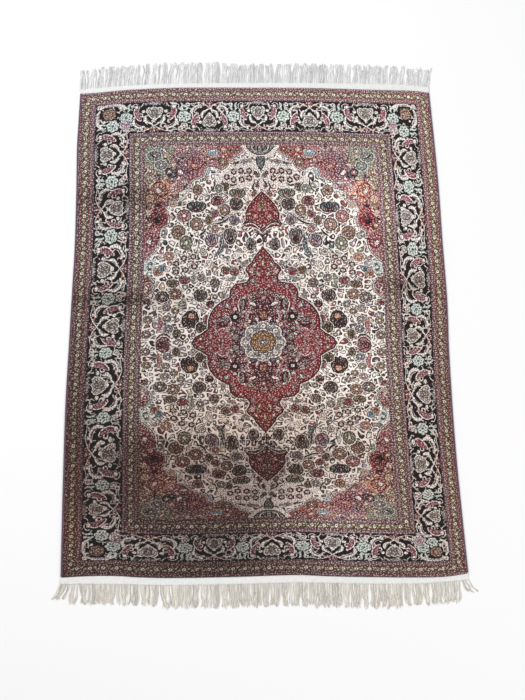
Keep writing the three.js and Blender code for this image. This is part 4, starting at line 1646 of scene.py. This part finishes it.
def silk_pile():
    """Knotted silk: each knot a little lighter or darker, with a soft sheen, and painted light and
    shade by place.
    """
    material, tree, surface = new_material("silk_pile", 0.75, 0.12, (1, 0.97, 0.94))
    weave = add_node(tree, "ShaderNodeUVMap", uv_map="Weave")["UV"]
    yarn = attribute(tree, "yarn")
    knots = add_node(tree, "ShaderNodeTexVoronoi",
                     {"Vector": weave, "Scale": KNOTS_A_METRE, "Randomness": 0.35})
    speckle = ranged(tree, parts_of(tree, knots["Color"])["Red"], 0.84, 1.16)
    colour = fine_knotting(tree, weave, yarn["Color"], yarn["Alpha"])
    painted_shade_tint = painted_shade_over(tree, colour)
    colour = scaled_colour(tree, colour, speckle)
    colour = scaled_colour(tree, colour, abrash(tree, weave))
    # The yarn's colour times the painted light and shade
    colour = add_node(tree, "ShaderNodeVectorMath", {0: colour, 1: painted_shade_tint},
                      operation="MULTIPLY")["Vector"]
    tree.links.new(colour, surface.inputs["Base Color"])
    relieve(tree, surface, knots["Distance"], 0.5, True)
    return material


def mottled(tree, colour, where, scale, low, high):
    """An even colour made lighter and darker in soft specks."""
    noise = add_node(tree, "ShaderNodeTexNoise", {"Vector": where, "Scale": scale, "Detail": 4})
    base = tree.nodes.new("ShaderNodeRGB").outputs[0]
    base.default_value = dyed(colour)
    return scaled_colour(tree, base, ranged(tree, noise["Fac"], low, high))


def warp_cotton(name, colour, ribs_along_x):
    """Undyed cotton, woven in fine ribs or twisted into threads."""
    material, tree, surface = new_material(name, 0.85, 0.15, (1, 1, 1))
    where = add_node(tree, "ShaderNodeTexCoord")["Object"]
    tinted = mottled(tree, colour, where, 160, 0.82, 1.14)
    tinted = scaled_colour(tree, tinted, attribute(tree, "tone")["Fac"])
    tree.links.new(tinted, surface.inputs["Base Color"])
    ribs = add_node(tree, "ShaderNodeTexWave", {"Vector": where, "Scale": 190, "Distortion": 1.2},
                    wave_type="BANDS", bands_direction="Y" if ribs_along_x else "X")
    relieve(tree, surface, ribs["Fac"], 0.6)
    return material


def side_yarn():
    """The mauve yarn wrapped round the side edges."""
    material, tree, surface = new_material("side_yarn", 0.75, 0.2, (1, 0.95, 1))
    where = add_node(tree, "ShaderNodeTexCoord")["Object"]
    colour = mottled(tree, (104, 78, 98), where, 70, 0.7, 1.3)
    tree.links.new(colour, surface.inputs["Base Color"])
    return material


def floor_paint():
    """The pale floor under the rug."""
    material = bpy.data.materials.new("pale_floor")
    material.use_nodes = True
    surface = material.node_tree.nodes["Principled BSDF"]
    surface.inputs["Base Color"].default_value = (0.86, 0.86, 0.86, 1)
    surface.inputs["Roughness"].default_value = 0.9
    return material


# The woven strips

STRIP_COLUMNS = 300
STRIP_ROWS = 6
STRIP_THINNING = 0.7


def end_strip(name, pile_edge, strip_edge, outward, material):
    """The plain-woven strip between the pile's end and the fringe."""
    share = np.linspace(0, 1, STRIP_COLUMNS + 1)
    inner_x, inner_y = edge_line(pile_edge, share)
    outer_x, outer_y = edge_line(strip_edge, share)
    inner_y = inner_y + outward * STRIP_GAP
    ripple = 0.14 * np.sin(share * 160) + 0.12 * np.sin(share * 71 + 1)
    points = []
    for row in range(STRIP_ROWS + 1):
        t = row / STRIP_ROWS
        x = inner_x + (outer_x - inner_x) * t
        y = inner_y + (outer_y - inner_y) * t
        thinner = STRIP_THINNING * abs(2 * t - 1) ** 4
        bulge = STRIP_THICKNESS - thinner + ripple * math.sin(math.pi * t)
        points.append(placed(np.stack([x, y], 1), bulge))
    for row in (0, STRIP_ROWS):
        below = points[row].copy()
        below[:, 2] = 0
        points.append(below)
    columns = STRIP_COLUMNS + 1
    ring = [*range(STRIP_ROWS + 1), STRIP_ROWS + 2, STRIP_ROWS + 1]
    faces = []
    for low, high in zip(ring, ring[1:] + ring[:1]):
        a, b = low * columns, high * columns
        faces += [(a + k, a + k + 1, b + k + 1, b + k) for k in range(STRIP_COLUMNS)]
    faces.append(tuple(row * columns for row in ring))
    faces.append(tuple(row * columns + STRIP_COLUMNS for row in ring[::-1]))
    if outward < 0:
        faces = [face[::-1] for face in faces]
    mesh = bpy.data.meshes.new(name)
    mesh.from_pydata(np.concatenate(points).tolist(), [], faces)
    mesh.polygons.foreach_set("use_smooth", np.ones(len(mesh.polygons), bool))
    add_value(mesh, "tone", np.ones(len(mesh.vertices)))
    return finish_piece(mesh, name, material)


# The fringe: fine warp threads grown from a guide line for each lock

FAR_LOCKS = 144
NEAR_LOCKS = 148
GUIDE_STEPS = 7
GUIDE_HEIGHT = 0.9
# Where a lock starts inside the strip, and how uneven its lean, reach and sway are
ROOT_DEPTH = 5
LOCK_LEAN = 8
LOCK_REACH = 0.07
LOCK_SWAY = 3.2
# In metres, as the tree takes them
LOCK_VALUES = {"Threads": 9, "Spread": 0.0052, "Thickness": 0.00062}


def uneven(i, seed):
    """A repeatable unevenness between -1 and 1 for item i."""
    return math.sin(i * 1.73 + seed) * 0.55 + math.sin(i * 4.31 + seed * 2.7) * 0.45


def fringe_guides(name, strip_edge, fringe, lock_count, outward):
    """A loose line for each lock, from inside the strip to its tip."""
    first = strip_edge[0][0]
    pitch = (strip_edge[-1][0] - first) / lock_count
    points, edges = [], []
    for i in range(lock_count):
        x = first + (i + 0.5) * pitch
        start, end, reach, lean_from, lean_to = next((r for r in fringe if x < r[1]), fringe[-1])
        lean = lean_from + (lean_to - lean_from) * (x - start) / (end - start)
        lean += uneven(i, 1) * LOCK_LEAN
        reach *= 1 + LOCK_REACH * uneven(i, 5)
        root_y = float(read_table(strip_edge, x)) - outward * ROOT_DEPTH
        length = reach + 3
        for k in range(GUIDE_STEPS + 1):
            t = k / GUIDE_STEPS
            sway = LOCK_SWAY * math.sin(t * 8 + 5 * uneven(i, 3)) * t
            points.append((x + lean * t**1.3 + sway, root_y + outward * length * t))
            if k:
                edges.append((len(points) - 2, len(points) - 1))
    plan = np.array(points)
    mesh = bpy.data.meshes.new(name)
    mesh.from_pydata(placed(plan, np.full(len(plan), GUIDE_HEIGHT)).tolist(), edges, [])
    guides = bpy.data.objects.new(name, mesh)
    bpy.context.scene.collection.objects.link(guides)
    return guides


def add_input(tree, name, kind, value=None):
    """A named input of the tree, by the identifier that a modifier sets it with."""
    socket = tree.interface.new_socket(name, in_out="INPUT", socket_type=kind)
    if value is not None:
        socket.default_value = value
    return socket.identifier


def per_thread(tree, low, high, seed):
    """A random value that stays the same along each thread."""
    draw = add_node(tree, "FunctionNodeRandomValue", {2: low, 3: high, "Seed": seed},
                    data_type="FLOAT")[1]
    return add_node(tree, "GeometryNodeFieldOnDomain", {0: draw}, domain="CURVE",
                    data_type="FLOAT")[0]


def thread_offset(tree, spread):
    """How far a thread stands from its guide: it fans out and waves toward its tip."""
    along = add_node(tree, "GeometryNodeSplineParameter")["Factor"]
    fan = worked_out(tree, "ADD", worked_out(tree, "MULTIPLY", along, 0.45), 0.55)
    phase = worked_out(tree, "ADD", worked_out(tree, "MULTIPLY", along, 9.0),
                       per_thread(tree, 0, 6.28, 2))
    wave = worked_out(tree, "MULTIPLY", worked_out(tree, "SINE", phase, 0),
                      worked_out(tree, "MULTIPLY", along, 0.35))
    across = worked_out(tree, "MULTIPLY",
                        worked_out(tree, "ADD", per_thread(tree, -1, 1, 1), wave),
                        worked_out(tree, "MULTIPLY", spread, fan))
    lift = worked_out(tree, "MULTIPLY", per_thread(tree, -0.1, 0.9, 3), MM)
    return add_node(tree, "ShaderNodeCombineXYZ", {"X": across, "Z": lift})["Vector"]


def loose_threads(tree, guides, amount, spread):
    """The lines of a lock's threads, each cut to its own length and with its own tone."""
    lines = add_node(tree, "GeometryNodeMeshToCurve", {"Mesh": guides})["Curve"]
    copies = add_node(tree, "GeometryNodeDuplicateElements", {"Geometry": lines, "Amount": amount},
                      domain="SPLINE")["Geometry"]
    moved = add_node(tree, "GeometryNodeSetPosition",
                     {"Geometry": copies, "Offset": thread_offset(tree, spread)})["Geometry"]
    trimmed = add_node(tree, "GeometryNodeTrimCurve",
                       {"Curve": moved, "End": per_thread(tree, 0.86, 1.0, 4)})["Curve"]
    return add_node(
        tree, "GeometryNodeStoreNamedAttribute",
        {"Geometry": trimmed, "Name": "tone", "Value": per_thread(tree, 0.6, 1.1, 5)},
        data_type="FLOAT", domain="POINT")["Geometry"]


def thread_tree():
    """Turns each guide into a lock of threads that spread and wave toward their tips."""
    tree = bpy.data.node_groups.new("fringe threads", "GeometryNodeTree")
    names = {
        "Guides": add_input(tree, "Guides", "NodeSocketGeometry"),
        "Threads": add_input(tree, "Threads", "NodeSocketInt", 6),
        "Spread": add_input(tree, "Spread", "NodeSocketFloat", 0.004),
        "Thickness": add_input(tree, "Thickness", "NodeSocketFloat", 0.0005),
        "Finish": add_input(tree, "Finish", "NodeSocketMaterial"),
    }
    tree.interface.new_socket("Threads", in_out="OUTPUT", socket_type="NodeSocketGeometry")
    given = add_node(tree, "NodeGroupInput")
    threads = loose_threads(tree, given["Guides"], given["Threads"], given["Spread"])
    ring = add_node(tree, "GeometryNodeCurvePrimitiveCircle",
                    {"Resolution": 4, "Radius": given["Thickness"]}, mode="RADIUS")["Curve"]
    tubes = add_node(tree, "GeometryNodeCurveToMesh",
                     {"Curve": threads, "Profile Curve": ring, "Fill Caps": True})["Mesh"]
    real = add_node(tree, "GeometryNodeRealizeInstances", {"Geometry": tubes})["Geometry"]
    finished = add_node(tree, "GeometryNodeSetMaterial",
                        {"Geometry": real, "Material": given["Finish"]})["Geometry"]
    add_node(tree, "NodeGroupOutput", {"Threads": finished})
    return tree, names


def grown(source, tree, names, values, name, material):
    """The plain mesh that a tree makes from a source object, as a finished piece."""
    modifier = source.modifiers.new("grow", "NODES")
    modifier.node_group = tree
    for key, value in values.items():
        modifier[names[key]] = value
    graph = bpy.context.evaluated_depsgraph_get()
    mesh = bpy.data.meshes.new_from_object(
        source.evaluated_get(graph), preserve_all_data_layers=True, depsgraph=graph)
    mesh.name = name
    bpy.data.objects.remove(source)
    mesh.polygons.foreach_set("use_smooth", np.ones(len(mesh.polygons), bool))
    return finish_piece(mesh, name, material)


# The overcast side cords

WRAP_PITCH = 2.6
WRAP_DEPTH = 0.12
CORD_FIT = 0.97


def cord_line(rows, inward):
    """The middle line of a side cord."""
    place = np.arange(rows[0][0] + WRAP_PITCH, rows[-1][0], WRAP_PITCH / 2)
    middle = read_table(rows, place) + inward * CORD_WIDTH / 2
    return np.stack([middle, place], 1)


def wrapped_cord(name, rows, inward, material):
    """A cord whose yarn turns stand out as small ridges, closed at both ends."""
    line = cord_line(rows, inward)
    sides = 6
    angle = -2 * math.pi * (np.arange(sides) + 0.5) / sides
    wrap = 1 - WRAP_DEPTH * (np.arange(len(line)) % 2)
    points = []
    for (x, y), size in zip(line, wrap):
        radius = CORD_WIDTH / 2 * CORD_FIT * size
        ring = np.stack([x + radius * np.cos(angle), np.full(sides, y)], 1)
        points.append(placed(ring, CORD_WIDTH / 2 + radius * np.sin(angle)))
    count = len(line)
    ring_start = np.arange(count - 1)[:, None] * sides
    k = np.arange(sides)[None, :]
    after = (k + 1) % sides
    quads = np.stack([ring_start + k, ring_start + after, ring_start + sides + after,
                      ring_start + sides + k], -1).reshape(-1, 4)
    last = (count - 1) * sides
    ends = [[0, 3, 2, 1], [0, 5, 4, 3],
            [last, last + 1, last + 2, last + 3], [last, last + 3, last + 4, last + 5]]
    mesh = plain_mesh(name, np.concatenate(points), np.concatenate([quads, ends]))
    return finish_piece(mesh, name, material)


# Making the rug

silk = silk_pile()
yarn = side_yarn()
strip_cotton = warp_cotton("strip_cotton", (233, 233, 231), True)
far_threads = warp_cotton("fringe_cotton_far", (246, 247, 246), False)
near_threads = warp_cotton("fringe_cotton_near", (243, 237, 226), False)

field = field_pattern()
field_x, field_y = BLACK_BAND_IN
quarters = [
    slab("pile_field_far_left", field, (-field_x, 0, 0, field_y), None, silk),
    slab("pile_field_far_right", field, (0, 0, field_x, field_y), None, silk),
    slab("pile_field_near_left", field, (-field_x, -field_y, 0, 0), None, silk),
    slab("pile_field_near_right", field, (0, -field_y, field_x, 0), None, silk),
]
pile_border = slab(
    "pile_border", border_pattern(), (-PILE_HALF[0], -PILE_HALF[1], *PILE_HALF),
    (-field_x, -field_y, field_x, field_y), silk)
cord_left = wrapped_cord("overcast_cord_left", LEFT_EDGE, 1, yarn)
cord_right = wrapped_cord("overcast_cord_right", RIGHT_EDGE, -1, yarn)
strip_far = end_strip("woven_strip_far", FAR_EDGE, FAR_STRIP_EDGE, 1, strip_cotton)
strip_near = end_strip("woven_strip_near", NEAR_EDGE, NEAR_STRIP_EDGE, -1, strip_cotton)

tree, names = thread_tree()
fringe_far = grown(
    fringe_guides("guides_far", FAR_STRIP_EDGE, FAR_FRINGE, FAR_LOCKS, 1),
    tree, names, {**LOCK_VALUES, "Finish": far_threads}, "fringe_far", far_threads)
fringe_near = grown(
    fringe_guides("guides_near", NEAR_STRIP_EDGE, NEAR_FRINGE, NEAR_LOCKS, -1),
    tree, names, {**LOCK_VALUES, "Finish": near_threads}, "fringe_near", near_threads)

# Hiding the imported parts that the pieces take the place of

# Flat sizes in metres
FLOOR_HALF = 6

for piece in (*quarters, pile_border):
    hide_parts("pile")
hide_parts("side_cord_left")
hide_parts("side_cord_right")
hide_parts("end_far")
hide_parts("end_near")
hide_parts("end_far")
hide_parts("end_near")

floor = bpy.data.objects.new("floor", plain_mesh(
    "floor", [(x * FLOOR_HALF, y * FLOOR_HALF, 0) for x, y in ((-1, -1), (1, -1), (1, 1), (-1, 1))],
    [[0, 1, 2, 3]]))
floor.data.materials.append(floor_paint())
bpy.context.scene.collection.objects.link(floor)

# Camera and soft studio light

CAMERA_AT = (-0.06896307, -4.39370134, 7.13163194)
CAMERA_TO = (0.00820606, -0.10927947, 0.0)
LENS = 133
LAMP_SIZE = 3.0
ROOM_LIGHT = 0.64


def aimed(thing, place, target):
    """Sets a camera or lamp at a place, looking at a target."""
    thing.location = place
    way = Vector(target) - Vector(place)
    thing.rotation_euler = way.to_track_quat("-Z", "Y").to_euler()
    bpy.context.scene.collection.objects.link(thing)


def in_frame(place):
    """A place of the rug's plan, in metres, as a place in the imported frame."""
    return (place[0] + PLAN_ORIGIN[0], place[1] + PLAN_ORIGIN[1], place[2])


camera = bpy.data.objects.new("camera", bpy.data.cameras.new("camera"))
camera.data.lens = LENS
camera.data.clip_end = 50
aimed(camera, in_frame(CAMERA_AT), in_frame(CAMERA_TO))
bpy.context.scene.camera = camera


def soft_lamp(name, place, power):
    """A large soft lamp that looks at the rug's middle."""
    lamp = bpy.data.objects.new(name, bpy.data.lights.new(name, "AREA"))
    lamp.data.shape = "SQUARE"
    lamp.data.size = LAMP_SIZE
    lamp.data.energy = power
    aimed(lamp, place, (0, 0, 0))


bpy.context.scene.view_settings.view_transform = "Standard"
soft_lamp("lamp_key", (-2.6, 2.4, 4.2), 150)
soft_lamp("lamp_fill", (3.0, -2.0, 4.0), 75)
room = bpy.data.worlds.new("room")
room.use_nodes = True
backdrop = room.node_tree.nodes["Background"]
backdrop.inputs["Color"].default_value = (1, 1, 1, 1)
backdrop.inputs["Strength"].default_value = ROOM_LIGHT
bpy.context.scene.world = room
